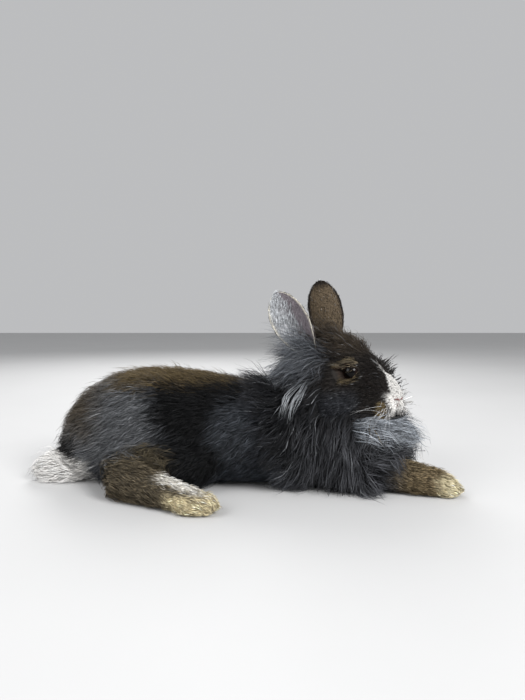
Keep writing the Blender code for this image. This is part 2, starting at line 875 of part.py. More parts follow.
def locks_of(skin, nodes):
    """Locks for each node, rooted where the node's own skin holds them all round."""
    dice = np.random.default_rng(LOCK_SEED)
    tree = skin_tree(skin)
    trees = {name: skin_tree(nodes[name]) for name in LOCKS}
    near = SKIN_SLACK * 0.001
    found = {name: [] for name in LOCKS}
    roots = []
    for spot, up in skin_points(skin, 9000, dice):
        for name, (spacing, length, width, lift) in LOCKS.items():
            if trees[name].find_nearest(spot, near)[0] is None or not grows_lock(name, spot):
                continue
            if any((spot - other).length < spacing * 0.001 for other in roots):
                continue
            way = lie(name, spot, up)
            across = way.cross(up)
            rim = [spot + way * 0.007, spot - way * 0.005]
            rim += [spot + across * width * 0.0004, spot - across * width * 0.0004]
            own = [tree.find_nearest(point)[0] for point in rim]
            if any(trees[name].find_nearest(point, near)[0] is None for point in own):
                continue
            roots.append(spot)
            found[name].append(lock(name, tree, spot, up, (length, width, lift), dice))
    return found


def with_wool(core, locks, rooms):
    """A copy of the core joined with the locks, which are cut off above the floor and at the rooms."""
    first, *others = [copy_of(one) for one in locks]
    wool = boolean(first, "UNION", others)
    boolean(wool, "DIFFERENCE", [floor_block(WOOL_GAP)])
    boolean(wool, "DIFFERENCE", [copy_of(room) for room in rooms])
    return largest_shell(boolean(copy_of(core), "UNION", [wool]))


def woolly(core, locks, rooms):
    """The core with its locks, less those at which the joined surface would touch itself."""
    trees = {one: skin_tree(one) for one in locks}
    whole = with_wool(core, trees, rooms)
    spots = flaws(whole)
    while spots and len(trees) > len(locks) * LOCKS_NEEDED:
        nearest = min(trees, key=lambda one: trees[one].find_nearest(spots[0])[3])
        del trees[nearest]
        discard([whole])
        whole = with_wool(core, trees, rooms)
        spots = flaws(whole)
    discard([core])
    return whole


def finished(obj, name, surface):
    """Moves a piece into the rabbit's collection under its own name."""
    WORKSHOP.objects.unlink(obj)
    RABBIT.objects.link(obj)
    obj.name = name
    obj.data.name = name
    obj.data.materials.clear()
    obj.data.materials.append(surface)
    obj.data.shade_smooth()
    obj.data.set_sharp_from_angle(angle=math.radians(40))
    return obj


RABBIT = collection_named("lionhead_rabbit")
WORKSHOP = collection_named("workshop")

COATS = {
    "charcoal": material("charcoal fur", "2d2d30", 0.9),
    "slate": material("slate wool", "474b54", 0.9),
    "agouti": material("agouti fur", "5b5046", 0.9),
    "white": material("white fur", "c9c4bb", 0.9),
    "ear": material("ear skin", "8d827f", 0.8),
    "eye": material("eye", "0c0a09", 0.1),
}

# The whole body is one form; the floor trims it flat where it rests.
head_form = fused(head(), 1.3, 5, HEAD_KEPT)
chest = ellipsoid(*BIB)
whole = fused([trunk(), neck(), chest, *tail(), *foreleg("right"), *foreleg("left")], 2.2, 3, BODY_KEPT)
for side in ("right", "left"):
    boolean(whole, "UNION", [fused(hind_leg(side), 2.0, 3, LEG_KEPT)])
boolean(whole, "UNION", [head_form])
boolean(whole, "DIFFERENCE", [floor_block()])
skin = copy_of(whole)

# It is parted where a person would name its parts.
pieces = {}
for side in ("right", "left"):
    share = [
        ellipsoid(HAUNCH[side], HAUNCH_RADII),
        ellipsoid(SHANK[side], SHANK_RADII),
        loft(foot_ribs(side), 2),
        *toes("hind", side),
    ]
    pieces[f"hindleg_{side}"] = parted(whole, region_round(share, 3.0))
    pieces[f"hindfoot_{side}"] = parted(pieces[f"hindleg_{side}"], foot_region(side))
    pieces[f"foreleg_{side}"] = parted(whole, region_round(forearm(side), 3.0))
pieces["tail"] = parted(whole, region_round(tail(), 3.0))
pieces["head"] = parted(whole, head_region())
pieces["neck"] = parted(whole, neck_region())
pieces["torso"] = whole

for sign in (1, -1):
    boolean(pieces["head"], "UNION", [lid_ring(sign)])

for side, sign in (("right", 1), ("left", -1)):
    pieces[f"ear_{side}"] = ear(side)
    pieces[f"eye_{side}"] = eyeball(sign, EYE_RADIUS)

for side in ("right", "left"):
    for kind, name in (("hind", f"hindfoot_{side}"), ("fore", f"foreleg_{side}")):
        boolean(pieces[name], "UNION", claws(pieces[name], kind, side))

# The head takes its sockets, mouth and nostrils, and makes room for the ears.
skull = pieces["head"]
for sign in (1, -1):
    boolean(skull, "DIFFERENCE", [eyeball(sign, EYE_RADIUS + SEAM_GAP)])
boolean(skull, "DIFFERENCE", mouth_and_nostrils(skull))
for side in ("right", "left"):
    for name in ("head", "neck"):
        boolean(pieces[name], "DIFFERENCE", [grown(pieces[f"ear_{side}"])])
for name in ("head", "neck"):
    largest_shell(pieces[name])

# The locks grow on their nodes, clear of the floor and of each other's forms and locks.
found = locks_of(skin, pieces)
discard([skin])
rooms = {name: [grown(piece, WOOL_GAP)] for name, piece in pieces.items()}
for name, nears in NEIGHBOURS.items():
    pieces[name] = woolly(pieces[name], found[name], [room for near in nears for room in rooms[near]])
    rooms[name] += [grown(one, WOOL_GAP) for one in found[name]]
    discard(found[name])
for room in rooms.values():
    discard(room)

COAT_OF = {
    "head": "charcoal",
    "neck": "slate",
    "torso": "slate",
    "tail": "white",
    "foreleg_right": "agouti",
    "foreleg_left": "agouti",
    "hindfoot_right": "agouti",
    "hindfoot_left": "agouti",
    "hindleg_right": "slate",
    "hindleg_left": "slate",
    "ear_right": "ear",
    "ear_left": "ear",
    "eye_right": "eye",
    "eye_left": "eye",
}
for name, coat in COAT_OF.items():
    finished(pieces[name], name, COATS[coat])
bpy.data.collections.remove(WORKSHOP)
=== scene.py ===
"""A lionhead rabbit lying at rest, life size, with its head raised and turned to its right.

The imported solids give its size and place. Here they get one skin, a coat of tufts, ears, eyes, a nose,
whiskers and claws. Plan millimetres run from rump to chest in x, from right to left in y and up in z.
"""

import math

import bpy
import numpy as np
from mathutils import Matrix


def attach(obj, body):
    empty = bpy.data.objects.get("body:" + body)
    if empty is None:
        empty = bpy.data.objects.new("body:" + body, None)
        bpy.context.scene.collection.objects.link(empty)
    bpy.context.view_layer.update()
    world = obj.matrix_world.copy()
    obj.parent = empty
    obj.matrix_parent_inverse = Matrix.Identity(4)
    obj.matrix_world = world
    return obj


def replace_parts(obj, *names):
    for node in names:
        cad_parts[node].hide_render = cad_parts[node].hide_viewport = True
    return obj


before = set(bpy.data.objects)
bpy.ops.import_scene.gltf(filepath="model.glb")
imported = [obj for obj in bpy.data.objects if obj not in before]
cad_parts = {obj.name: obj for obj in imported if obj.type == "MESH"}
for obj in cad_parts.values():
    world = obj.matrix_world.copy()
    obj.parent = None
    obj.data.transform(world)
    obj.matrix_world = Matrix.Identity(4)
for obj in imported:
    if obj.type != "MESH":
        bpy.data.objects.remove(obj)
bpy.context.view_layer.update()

# Camera
# The photograph was taken from just above the floor, close to the animal's right side.
# The lens is a phone's wide one, with the long side of the frame upright.
camera = bpy.data.objects.new("camera", bpy.data.cameras.new("camera"))
camera.data.lens = 27.05
camera.location = (0.018, -0.4399, 0.143)
camera.rotation_euler = (math.radians(90 - 4.24), 0, 0)
bpy.context.scene.collection.objects.link(camera)
bpy.context.scene.camera = camera

# Studio floor
# A pale matt board that runs far past the animal on all sides.
# It isn't part of the animal.


def linear(code):
    """A hex colour of sRGB as three linear numbers: ((c + 0.055) / 1.055) to the power 2.4."""
    shares = np.array([int(code[i : i + 2], 16) for i in (0, 2, 4)]) / 255
    return np.where(shares <= 0.04045, shares / 12.92, ((shares + 0.055) / 1.055) ** 2.4)


def add_node(tree, kind, links=(), **settings):
    """Adds one node: a setting names a property or a socket, and a link is (from socket, to name)."""
    node = tree.nodes.new(kind)
    for key, value in settings.items():
        socket = node.inputs.get(key.replace("_", " "))
        if hasattr(node, key):
            setattr(node, key, value)
        elif socket:
            socket.default_value = value
    for source, name in links:
        tree.links.new(source, node.inputs[name])
    return node


def new_material(name):
    """An empty node material and its tree."""
    made = bpy.data.materials.new(name)
    made.use_nodes = True
    made.node_tree.nodes.clear()
    return made, made.node_tree


floor_board, tree = new_material("matt floor board")
grain = add_node(tree, "ShaderNodeTexNoise", Scale=40.0, Detail=4.0)
paper = add_node(tree, "ShaderNodeMapRange", [(grain.outputs[0], "Value")], To_Min=0.46, To_Max=0.5)
surface = add_node(tree, "ShaderNodeBsdfPrincipled", [(paper.outputs[0], "Base Color")], Roughness=0.7)
add_node(tree, "ShaderNodeOutputMaterial", [(surface.outputs[0], "Surface")])


def sheet_grid(size, rows):
    """A flat square sheet: x and y are even steps over its size, z is nought."""
    steps = np.linspace(-size, size, rows)
    x, y = np.meshgrid(steps, steps)
    return np.stack([x, y, np.zeros_like(x)], axis=-1)


def grid_faces(rows, columns, ring=False):
    """Quads between neighbours of a grid, whose columns close into a ring where asked."""
    i, j = np.meshgrid(np.arange(rows - 1), np.arange(columns if ring else columns - 1), indexing="ij")
    k = (j + 1) % columns
    corners = [i * columns + j, i * columns + k, (i + 1) * columns + k, (i + 1) * columns + j]
    return np.stack(corners, axis=-1).reshape(-1, 4)


def piece_from(name, points, faces):
    """A mesh object of these points and faces, at the origin."""
    mesh = bpy.data.meshes.new(name)
    mesh.from_pydata(np.asarray(points).reshape(-1, 3).tolist(), [], [list(map(int, f)) for f in faces])
    made = bpy.data.objects.new(name, mesh)
    bpy.context.scene.collection.objects.link(made)
    return made


floor = piece_from("floor", sheet_grid(3.0, 2), grid_faces(2, 2))
floor.data.materials.append(floor_board)

# Lights
# Soft daylight: a wide lamp ahead of the animal and above the camera, a weaker one behind it,
# and a pale sky all round.
sky = bpy.data.worlds.new("pale studio")
sky.use_nodes = True
sky.node_tree.nodes["Background"].inputs["Color"].default_value = (*linear("e9eaec"), 1)
sky.node_tree.nodes["Background"].inputs["Strength"].default_value = 0.62
bpy.context.scene.world = sky
bpy.context.scene.view_settings.view_transform = "Standard"


def lamp(name, place, aim, size, power):
    """A square soft lamp at a place, turned to face its aim."""
    made = bpy.data.objects.new(name, bpy.data.lights.new(name, "AREA"))
    made.data.size = size
    made.data.energy = power
    made.location = place
    way = np.array(aim) - np.array(place)
    level = math.hypot(way[0], way[1])
    made.rotation_euler = (math.atan2(level, -way[2]), 0, math.atan2(way[1], way[0]) - math.pi / 2)
    bpy.context.scene.collection.objects.link(made)


lamp("key lamp", (0.75, -0.7, 0.85), (0.03, 0, 0.06), 0.5, 19.0)
lamp("fill lamp", (-0.8, -0.4, 0.7), (0, 0, 0.05), 0.7, 7.0)
lamp("rim lamp", (-0.2, 0.9, 0.8), (0, 0, 0.05), 0.6, 9.0)

# Skin
# One hide covers the whole body, from the nose to the tail and the toes, as in life.
# It is melted together from rounded forms, pulled in by the coat's depth, and carries the markings.
BOX_MIDDLE = np.array([-18.0, 39.9, 0.0])
HEAD_MARK = np.array([81.2, 40.0, 0.0])
HEAD_TURN = math.radians(38.0)
HEAD_FORWARD = np.array([math.cos(HEAD_TURN), -math.sin(HEAD_TURN), 0.0])
HEAD_RIGHT = np.array([-math.sin(HEAD_TURN), -math.cos(HEAD_TURN), 0.0])
UPWARD = np.array([0.0, 0.0, 1.0])

# Trunk ribs: x, height of the back, height of the belly, half width.
TRUNK_RIBS = [
    (-172, 40, 14, 10),
    (-166, 55, 5, 30),
    (-150, 76, -2, 46),
    (-125, 89, -3, 54),
    (-97, 94, -3, 57),
    (-65, 93, -3, 56),
    (-35, 88, -3, 53),
    (-5, 81, -3, 50),
    (22, 80, -3, 47),
    (48, 78, -2, 43),
    (72, 68, 1, 37),
    (90, 54, 8, 27),
    (99, 42, 20, 12),
]
# Neck ribs: nape x and z, throat x and z, middle y, half width.
NECK_RIBS = [
    (2, 74, 52, 2, 53, 38),
    (14, 88, 82, 4, 51, 37),
    (28, 102, 101, 20, 49, 33),
    (40, 112, 103, 42, 47, 27),
    (50, 114, 96, 58, 46, 20),
]
# Head ribs: brow ahead and z, jaw ahead and z, half width.
HEAD_RIBS = [
    (38.0, 74, 34.0, 66, 5.0),
    (38.0, 80, 26, 53, 10.5),
    (33, 88, 16, 45, 13.5),
    (24, 97, 6, 42, 15.5),
    (13, 107, -4, 42, 18.5),
    (1, 116, -13, 45, 21.0),
    (-11, 122, -21, 51, 23.5),
    (-23, 124, -29, 58, 24.0),
    (-34, 120, -36, 68, 20.5),
    (-42, 110, -41, 82, 12.0),
]
# Pads of the head: ahead, right, z, then radii the same way. Each is on both sides.
HEAD_PADS = [
    (25.0, 7.4, 66, 12, 7.6, 9.2),
    (18, 0, 51.5, 10, 8.5, 7),
    (-10, 14.5, 70, 19, 13, 19),
    (-1, 14.8, 101, 9, 4.5, 3.4),
]
# Round forms of the body: x, y, z and radii.
CHEST = (86, 41, 38, 30, 37, 35)
HAUNCH_FORMS = [
    (-94, 33, 46, 50, 27, 43),
    (-90, 84, 46, 50, 27, 43),
    (-54, 20, 28, 27, 17, 25),
    (-50, 94, 28, 27, 17, 25),
    (-84, 9, 20, 44, 17, 20),
    (-80, 103, 20, 44, 17, 20),
]
# Hind feet, heel to toe, and their ribs: share of the length, top, half width.
HIND_FEET = {"right": ((-120.0, -1.0), (-36.0, -40.0)), "left": ((-114.0, 116.0), (-24.0, 113.0))}
FOOT_RIBS = [
    (0.00, 15, 5),
    (0.06, 25, 10),
    (0.18, 30, 12),
    (0.36, 27, 12),
    (0.54, 23, 11.5),
    (0.70, 19, 12),
    (0.84, 16, 12.5),
    (0.94, 12, 10.5),
    (1.00, 7, 6),
]
# Forelegs, from the elbow to the paw: x, y, top, half width.
FORELEGS = {
    "right": [
        (52, 27, 44, 17),
        (74, 20, 38, 15),
        (95, 13, 31, 13),
        (113, 7, 27, 12.5),
        (128, 3, 24, 13.5),
        (141, 1, 20, 13.5),
        (149, 0, 15, 10.5),
        (153, 0, 9, 6),
    ],
    "left": [
        (36, 76, 44, 17),
        (58, 77, 38, 15),
        (76, 75, 31, 13),
        (91, 71, 26, 12.5),
        (104, 67, 23, 13.5),
        (114, 65, 19, 13.5),
        (121, 64, 14, 10.5),
        (125, 64, 8, 6),
    ],
}
TAIL_RIBS = [
    (-140, 50, 30, 13),
    (-152, 46, 26, 13),
    (-166, 43, 23, 12),
    (-178, 41, 20, 9.5),
    (-187, 40, 15, 5.5),
]
# Toes: ahead of the tip's middle, out to the side, height; then length, width and height of each kind.
HIND_TOES = [(-2, -8.5, 6), (3, -3, 6.5), (2, 3, 6.5), (-8, 8.5, 6)]
FORE_TOES = [(-4, -9, 5.5), (1, -3.4, 6), (1.5, 3, 6), (-3, 8.8, 5.5)]
TOE_RADII = {"hind": (11, 4.6, 6.5), "fore": (8.5, 4.1, 5.8)}


def unit(ways):
    """Each way divided by its own length."""
    return ways / np.maximum(np.linalg.norm(ways, axis=-1, keepdims=True), 1e-9)


def head_plan(ahead, right, z):
    """Places ahead of the head's mark, to its right and above the floor, on the plan."""
    ahead, right, z = (np.asarray(v, float)[..., None] for v in (ahead, right, z))
    return HEAD_MARK + HEAD_FORWARD * ahead + HEAD_RIGHT * right + UPWARD * z


def turns(count):
    """Even angles once round a ring."""
    return np.linspace(0, 2 * math.pi, count, endpoint=False)


def round_ring(first, second, count):
    """Ways round a circle: cosine of each turn along the first way, plus sine of it along the second."""
    turn = turns(count)[:, None]
    return np.cos(turn) * first[..., None, :] + np.sin(turn) * second[..., None, :]


def ribbed(highs, lows, half_widths, across):
    """Oval rings: the middle, plus cosine of the turn up to the high point, plus sine of it to the side."""
    turn = turns(14)[None, :, None]
    highs, lows = highs[:, None], lows[:, None]
    side = across[:, None] * half_widths[:, None, None]
    return (highs + lows) / 2 + np.cos(turn) * (highs - lows) / 2 + np.sin(turn) * side


def ball(middle, radii, across=(0.0, 1.0, 0.0)):
    """An ellipsoid as rings: sines and cosines of two angles times the radii, the second of them across."""
    second = unit(np.array(across, float))
    first = np.cross(second, UPWARD)
    rise = np.linspace(0.02, math.pi - 0.02, 18)[:, None, None]
    ring = round_ring(first * radii[0], second * radii[1], 32)
    return np.array(middle, float) + np.sin(rise) * ring + np.cos(rise) * radii[2] * UPWARD


def tube_faces(rows, columns, start=0):
    """The quads of a closed tube grid, and one many-sided face over each end."""
    quads = (grid_faces(rows, columns, ring=True) + start).tolist()
    first, last = list(range(columns)), list(range((rows - 1) * columns, rows * columns))
    return [*quads, [start + i for i in reversed(first)], [start + i for i in last]]


def facing_out(grid):
    """The grid with its columns turned round where its quads would face inward."""
    corners = grid.reshape(-1, 3)[grid_faces(*grid.shape[:2], ring=True)] - grid.reshape(-1, 3).mean(axis=0)
    inside = np.einsum("ij,ij->i", corners[:, 0], np.cross(corners[:, 1], corners[:, 2])).sum()
    return grid if inside > 0 else grid[:, ::-1]


def limb_rings(stations, low=-1.5):
    """Rings along a limb given as x, y, top and half width, each standing across its way."""
    stations = np.array(stations, float)
    way = np.gradient(stations[:, :2], axis=0)
    across = unit(np.stack([way[:, 1], -way[:, 0], np.zeros(len(way))], axis=-1))
    tops = stations[:, [0, 1, 2]]
    lows = np.column_stack([stations[:, :2], np.full(len(stations), low)])
    return ribbed(tops, lows, stations[:, 3], across)


def foot_stations(side):
    """A hind foot's ribs set along its line from heel to toe."""
    (heel, toe), ribs = np.array(HIND_FEET[side]), np.array(FOOT_RIBS, float)
    return np.column_stack([heel + (toe - heel) * ribs[:, :1], ribs[:, 1:]])


def toe_places(kind, side):
    """The middle of each toe and the foot's own way ahead."""
    if kind == "hind":
        start, tip = np.array(HIND_FEET[side])
        offsets, back = np.array(HIND_TOES, float), 9
    else:
        start, tip = np.array(FORELEGS[side], float)[[-4, -1], :2]
        offsets, back = np.array(FORE_TOES, float), 7
    ahead = unit(np.append(tip - start, 0.0))
    out = np.cross(ahead, UPWARD) * (1 if side == "right" else -1)
    middles = np.append(tip, 0.0) + ahead * (offsets[:, :1] - back)
    return middles + out * offsets[:, 1:2] + UPWARD * offsets[:, 2:], ahead


def trunk_middle(x):
    """The y of the backbone, which leads straight from 63 at the rump to 47 at the chest."""
    return 63 + (47 - 63) * (x + 170) / 270


def body_forms():
    """Every rounded form that the hide is stretched over, as closed grids on the plan."""
    trunk = np.array(TRUNK_RIBS, float)
    middle = trunk_middle(trunk[:, 0])
    level = np.tile([0.0, 1.0, 0.0], (len(trunk), 1))
    back, belly = (np.column_stack([trunk[:, 0], middle, trunk[:, i]]) for i in (1, 2))
    forms = [ribbed(back, belly, trunk[:, 3], level)]
    neck = np.array(NECK_RIBS, float)
    forms.append(ribbed(neck[:, [0, 4, 1]], neck[:, [2, 4, 3]], neck[:, 5], level[: len(neck)]))
    head = np.array(HEAD_RIBS, float)
    across = np.tile(HEAD_RIGHT, (len(head), 1))
    zero = np.zeros(len(head))
    brow, jaw = (head_plan(head[:, i], zero, head[:, i + 1]) for i in (0, 2))
    forms.append(ribbed(brow, jaw, head[:, 4], across))
    for ahead, right, z, *radii in HEAD_PADS:
        for side in (1, -1) if right else (1,):
            forms.append(ball(head_plan(ahead, side * right, z), radii, HEAD_RIGHT))
    forms += [ball(form[:3], form[3:]) for form in (CHEST, *HAUNCH_FORMS)]
    for side in ("right", "left"):
        forms += [limb_rings(foot_stations(side)), limb_rings(FORELEGS[side])]
        for kind in ("hind", "fore"):
            middles, ahead = toe_places(kind, side)
            forms += [ball(spot, TOE_RADII[kind], -np.cross(ahead, UPWARD)) for spot in middles]
    forms.append(limb_rings(TAIL_RIBS, 1.0))
    return [facing_out(grid) for grid in forms]


def to_metres(plan):
    return (np.asarray(plan, float) - BOX_MIDDLE) * 0.001


def to_plan(metres):
    return np.asarray(metres, float) * 1000 + BOX_MIDDLE


def made_real(piece):
    """The piece with its modifiers carried out."""
    bpy.context.view_layer.update()
    graph = bpy.context.evaluated_depsgraph_get()
    mesh = bpy.data.meshes.new_from_object(piece.evaluated_get(graph))
    piece.modifiers.clear()
    piece.data = mesh
    mesh.name = piece.name
    return piece


def read_points(mesh):
    flat = np.empty(len(mesh.vertices) * 3, np.float32)
    mesh.vertices.foreach_get("co", flat)
    return flat.reshape(-1, 3).astype(float)


def read_normals(mesh):
    flat = np.empty(len(mesh.vertices) * 3, np.float32)
    mesh.vertex_normals.foreach_get("vector", flat)
    return flat.reshape(-1, 3).astype(float)


def ramp(value, low, high):
    """Rises smoothly from nought at low to one at high: 3 t squared less 2 t cubed."""
    t = np.clip((value - low) / (high - low), 0, 1)
    return t * t * (3 - 2 * t)


def head_frame(plan):
    """How far ahead of the head's mark and to its right each place lies, and its height."""
    away = plan - HEAD_MARK
    return away @ HEAD_FORWARD, away @ HEAD_RIGHT, plan[..., 2]


def share_head(plan):
    """One on the head, nought behind a line from the throat to the nape and below the jaw."""
    ahead, _, z = head_frame(plan)
    nape = -22 - 24 * (z - 47) / 75
    throat = np.where(ahead < 20, 47 - 7 * (ahead + 22) / 42, 41)
    return ramp(ahead - nape, -3, 5) * ramp(z - throat, -2, 3)


def share_long(plan):
    """One where the mane grows: the neck, chest, nape, the back of the cheeks and under the chin."""
    ahead, right, z = head_frame(plan)
    x = plan[..., 0]
    slope = np.interp(z, [-20, 72, 130], [52, 8, 22])
    neck = ramp(x - slope, -8, 4) * (1 - share_head(plan))
    jaw = ramp(60 - z, -3, 4) * np.maximum(ramp(14 - ahead, -3, 3), ramp(np.abs(right), 12, 15))
    back = ramp(-ahead, 10, 16) * ramp(114 - z, -3, 4)
    return np.maximum(neck, share_head(plan) * np.maximum(jaw, back))


def share_limb(plan, stations, first=0):
    """One near a limb's line, by its own half width and top; and how far along the limb it is."""
    stations = np.array(stations, float)[first:]
    best, along = np.full(len(plan), 1e9), np.zeros(len(plan))
    for i in range(len(stations) - 1):
        a, b = stations[i], stations[i + 1]
        t = np.clip(((plan[:, :2] - a[:2]) @ (b - a)[:2]) / ((b - a)[:2] @ (b - a)[:2]), 0, 1)
        at = a + (b - a) * t[:, None]
        off = np.linalg.norm(plan[:, :2] - at[:, :2], axis=1) - at[:, 3]
        over = np.maximum(off, plan[:, 2] - at[:, 2])
        closer = over < best
        best, along = np.where(closer, over, best), np.where(closer, (i + t) / (len(stations) - 1), along)
    return ramp(-best, -4.5, -1.0), along


def share_feet(plan):
    found = [share_limb(plan, foot_stations(side))[0] for side in HIND_FEET]
    found += [share_limb(plan, FORELEGS[side], 2)[0] for side in FORELEGS]
    return np.clip(np.max(found, axis=0), 0, 1)


def share_tail(plan):
    return share_limb(plan, TAIL_RIBS)[0] * ramp(-plan[:, 0], 138, 146)


def joined(name, grids):
    """One mesh of several closed grids, each given on the plan."""
    points, faces, start = [], [], 0
    for grid in grids:
        points.append(grid.reshape(-1, 3))
        faces += tube_faces(*grid.shape[:2], start)
        start += grid.shape[0] * grid.shape[1]
    return piece_from(name, to_metres(np.concatenate(points)), faces)


def dressed(piece, material):
    """The piece smoothed and given its material, and set on the body's root."""
    piece.data.shade_smooth()
    piece.data.materials.append(material)
    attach(piece, "root")
    return piece


skin = joined("skin", body_forms())
round_off = skin.modifiers.new("Round", "SUBSURF")
round_off.levels = round_off.render_levels = 2
melt = skin.modifiers.new("Melt", "REMESH")
melt.mode = "VOXEL"
melt.voxel_size = 0.0013
ease = skin.modifiers.new("Ease", "SMOOTH")
ease.factor = 0.5
ease.iterations = 9
made_real(skin)

EYE_AT = (0.5, 14.4, 93.0)
EYE_RADIUS = 7.4
EYE_AHEAD = math.radians(14.0)
EYE_UP = math.radians(6.0)
# The gap between the lids: half its angle along the eye and across it.
EYE_GAP = (math.radians(60), math.radians(50))


def eye_axes(side):
    """The way an eye looks, the way along its lids, and the way up across them."""
    out = HEAD_RIGHT * side * math.cos(EYE_AHEAD) + HEAD_FORWARD * math.sin(EYE_AHEAD)
    out = unit(out * math.cos(EYE_UP) + UPWARD * math.sin(EYE_UP))
    along = unit(HEAD_FORWARD - out * (HEAD_FORWARD @ out) + UPWARD * 0.12)
    return out, along, np.cross(out, along) * side


def eye_middle(side):
    return head_plan(EYE_AT[0], EYE_AT[1] * side, EYE_AT[2])


def lid_gap(turn):
    """The half gap between the lids at a turn round the eye: an ellipse of angles."""
    return 1 / np.sqrt((np.cos(turn) / EYE_GAP[0]) ** 2 + (np.sin(turn) / EYE_GAP[1]) ** 2)


def eye_angle(plan, side):
    """The angle from an eye's axis less the lids' gap there, and the distance from its middle."""
    out, along, up = eye_axes(side)
    away = plan - eye_middle(side)
    reach = np.linalg.norm(away, axis=-1)
    angle = np.arccos(np.clip(away @ out / np.maximum(reach, 1e-6), -1, 1))
    return angle - lid_gap(np.arctan2(away @ up, away @ along)), reach


MOUTH = [(34, 0, 62), (32, 4, 60), (28, 9, 57), (22, 12, 54)]
CLEFT = [(40, 0, 70), (38, 0, 66), (34, 0, 62)]
NOSTRIL = [(39.5, 1.8, 71.0), (38.5, 4.2, 72.6), (36, 6.4, 73.2)]


def line_distance(plan, line, side):
    """How far each place is from a broken line of the face."""
    spots = np.array([head_plan(a, r * side, z) for a, r, z in line])
    best = np.full(len(plan), 1e9)
    for a, b in zip(spots, spots[1:]):
        t = np.clip((plan - a) @ (b - a) / ((b - a) @ (b - a)), 0, 1)
        best = np.minimum(best, np.linalg.norm(plan - a - (b - a) * t[:, None], axis=1))
    return best


def face_lines(plan):
    """The least distance to the mouth and lip's cleft, and to a nostril."""
    lips = [line_distance(plan, line, side) for line, side in ((MOUTH, 1), (MOUTH, -1), (CLEFT, 1))]
    return np.min(lips, axis=0), np.min([line_distance(plan, NOSTRIL, side) for side in (1, -1)], axis=0)


def pulled_in(plan, normals):
    """The hide under the coat: in by the coat's depth, sunk behind each eye and at the mouth and nostrils."""
    long = share_long(plan)
    depth = 2.4 + 0.8 * long - 1.7 * share_head(plan) * (1 - long) - 1.8 * share_feet(plan)
    mouth, nostril = face_lines(plan)
    depth = depth + 1.3 * np.exp(-((mouth / 1.1) ** 2)) + 1.6 * np.exp(-((nostril / 1.2) ** 2))
    moved = plan - normals * np.maximum(depth, 0.5)[:, None]
    for side in (1, -1):
        over, reach = eye_angle(moved, side)
        near = ramp(-over, -0.25, 0.05) * ramp(-reach, -14, -11)
        middle = eye_middle(side)
        seat = middle + (moved - middle) * ((EYE_RADIUS - 1.6) / np.maximum(reach, 1e-6))[:, None]
        moved = moved + (seat - moved) * near[:, None]
    moved[:, 2] = np.maximum(moved[:, 2], 0.5)
    return moved


hide_plan = pulled_in(to_plan(read_points(skin.data)), read_normals(skin.data))
skin.data.vertices.foreach_set("co", to_metres(hide_plan).astype(np.float32).ravel())
skin.data.update()
skin.data.shade_smooth()

bpy.context.view_layer.objects.active = skin
skin.select_set(True)
bpy.ops.object.mode_set(mode="EDIT")
bpy.ops.mesh.select_all(action="SELECT")
bpy.ops.uv.smart_project(angle_limit=math.radians(60), island_margin=0.002)
bpy.ops.object.mode_set(mode="OBJECT")
skin.select_set(False)
skin.data.uv_layers[0].name = "OFBake"

# Markings
# Charcoal head with a white blaze and muzzle, slate wool, a brown ticked back that is partly painted warm
# bounce light, smoky haunches partly lit by a painted highlight, brown feet with cream toes, and a white tail
# under a black patch.


SIDES = ((1, "right"), (-1, "left"))


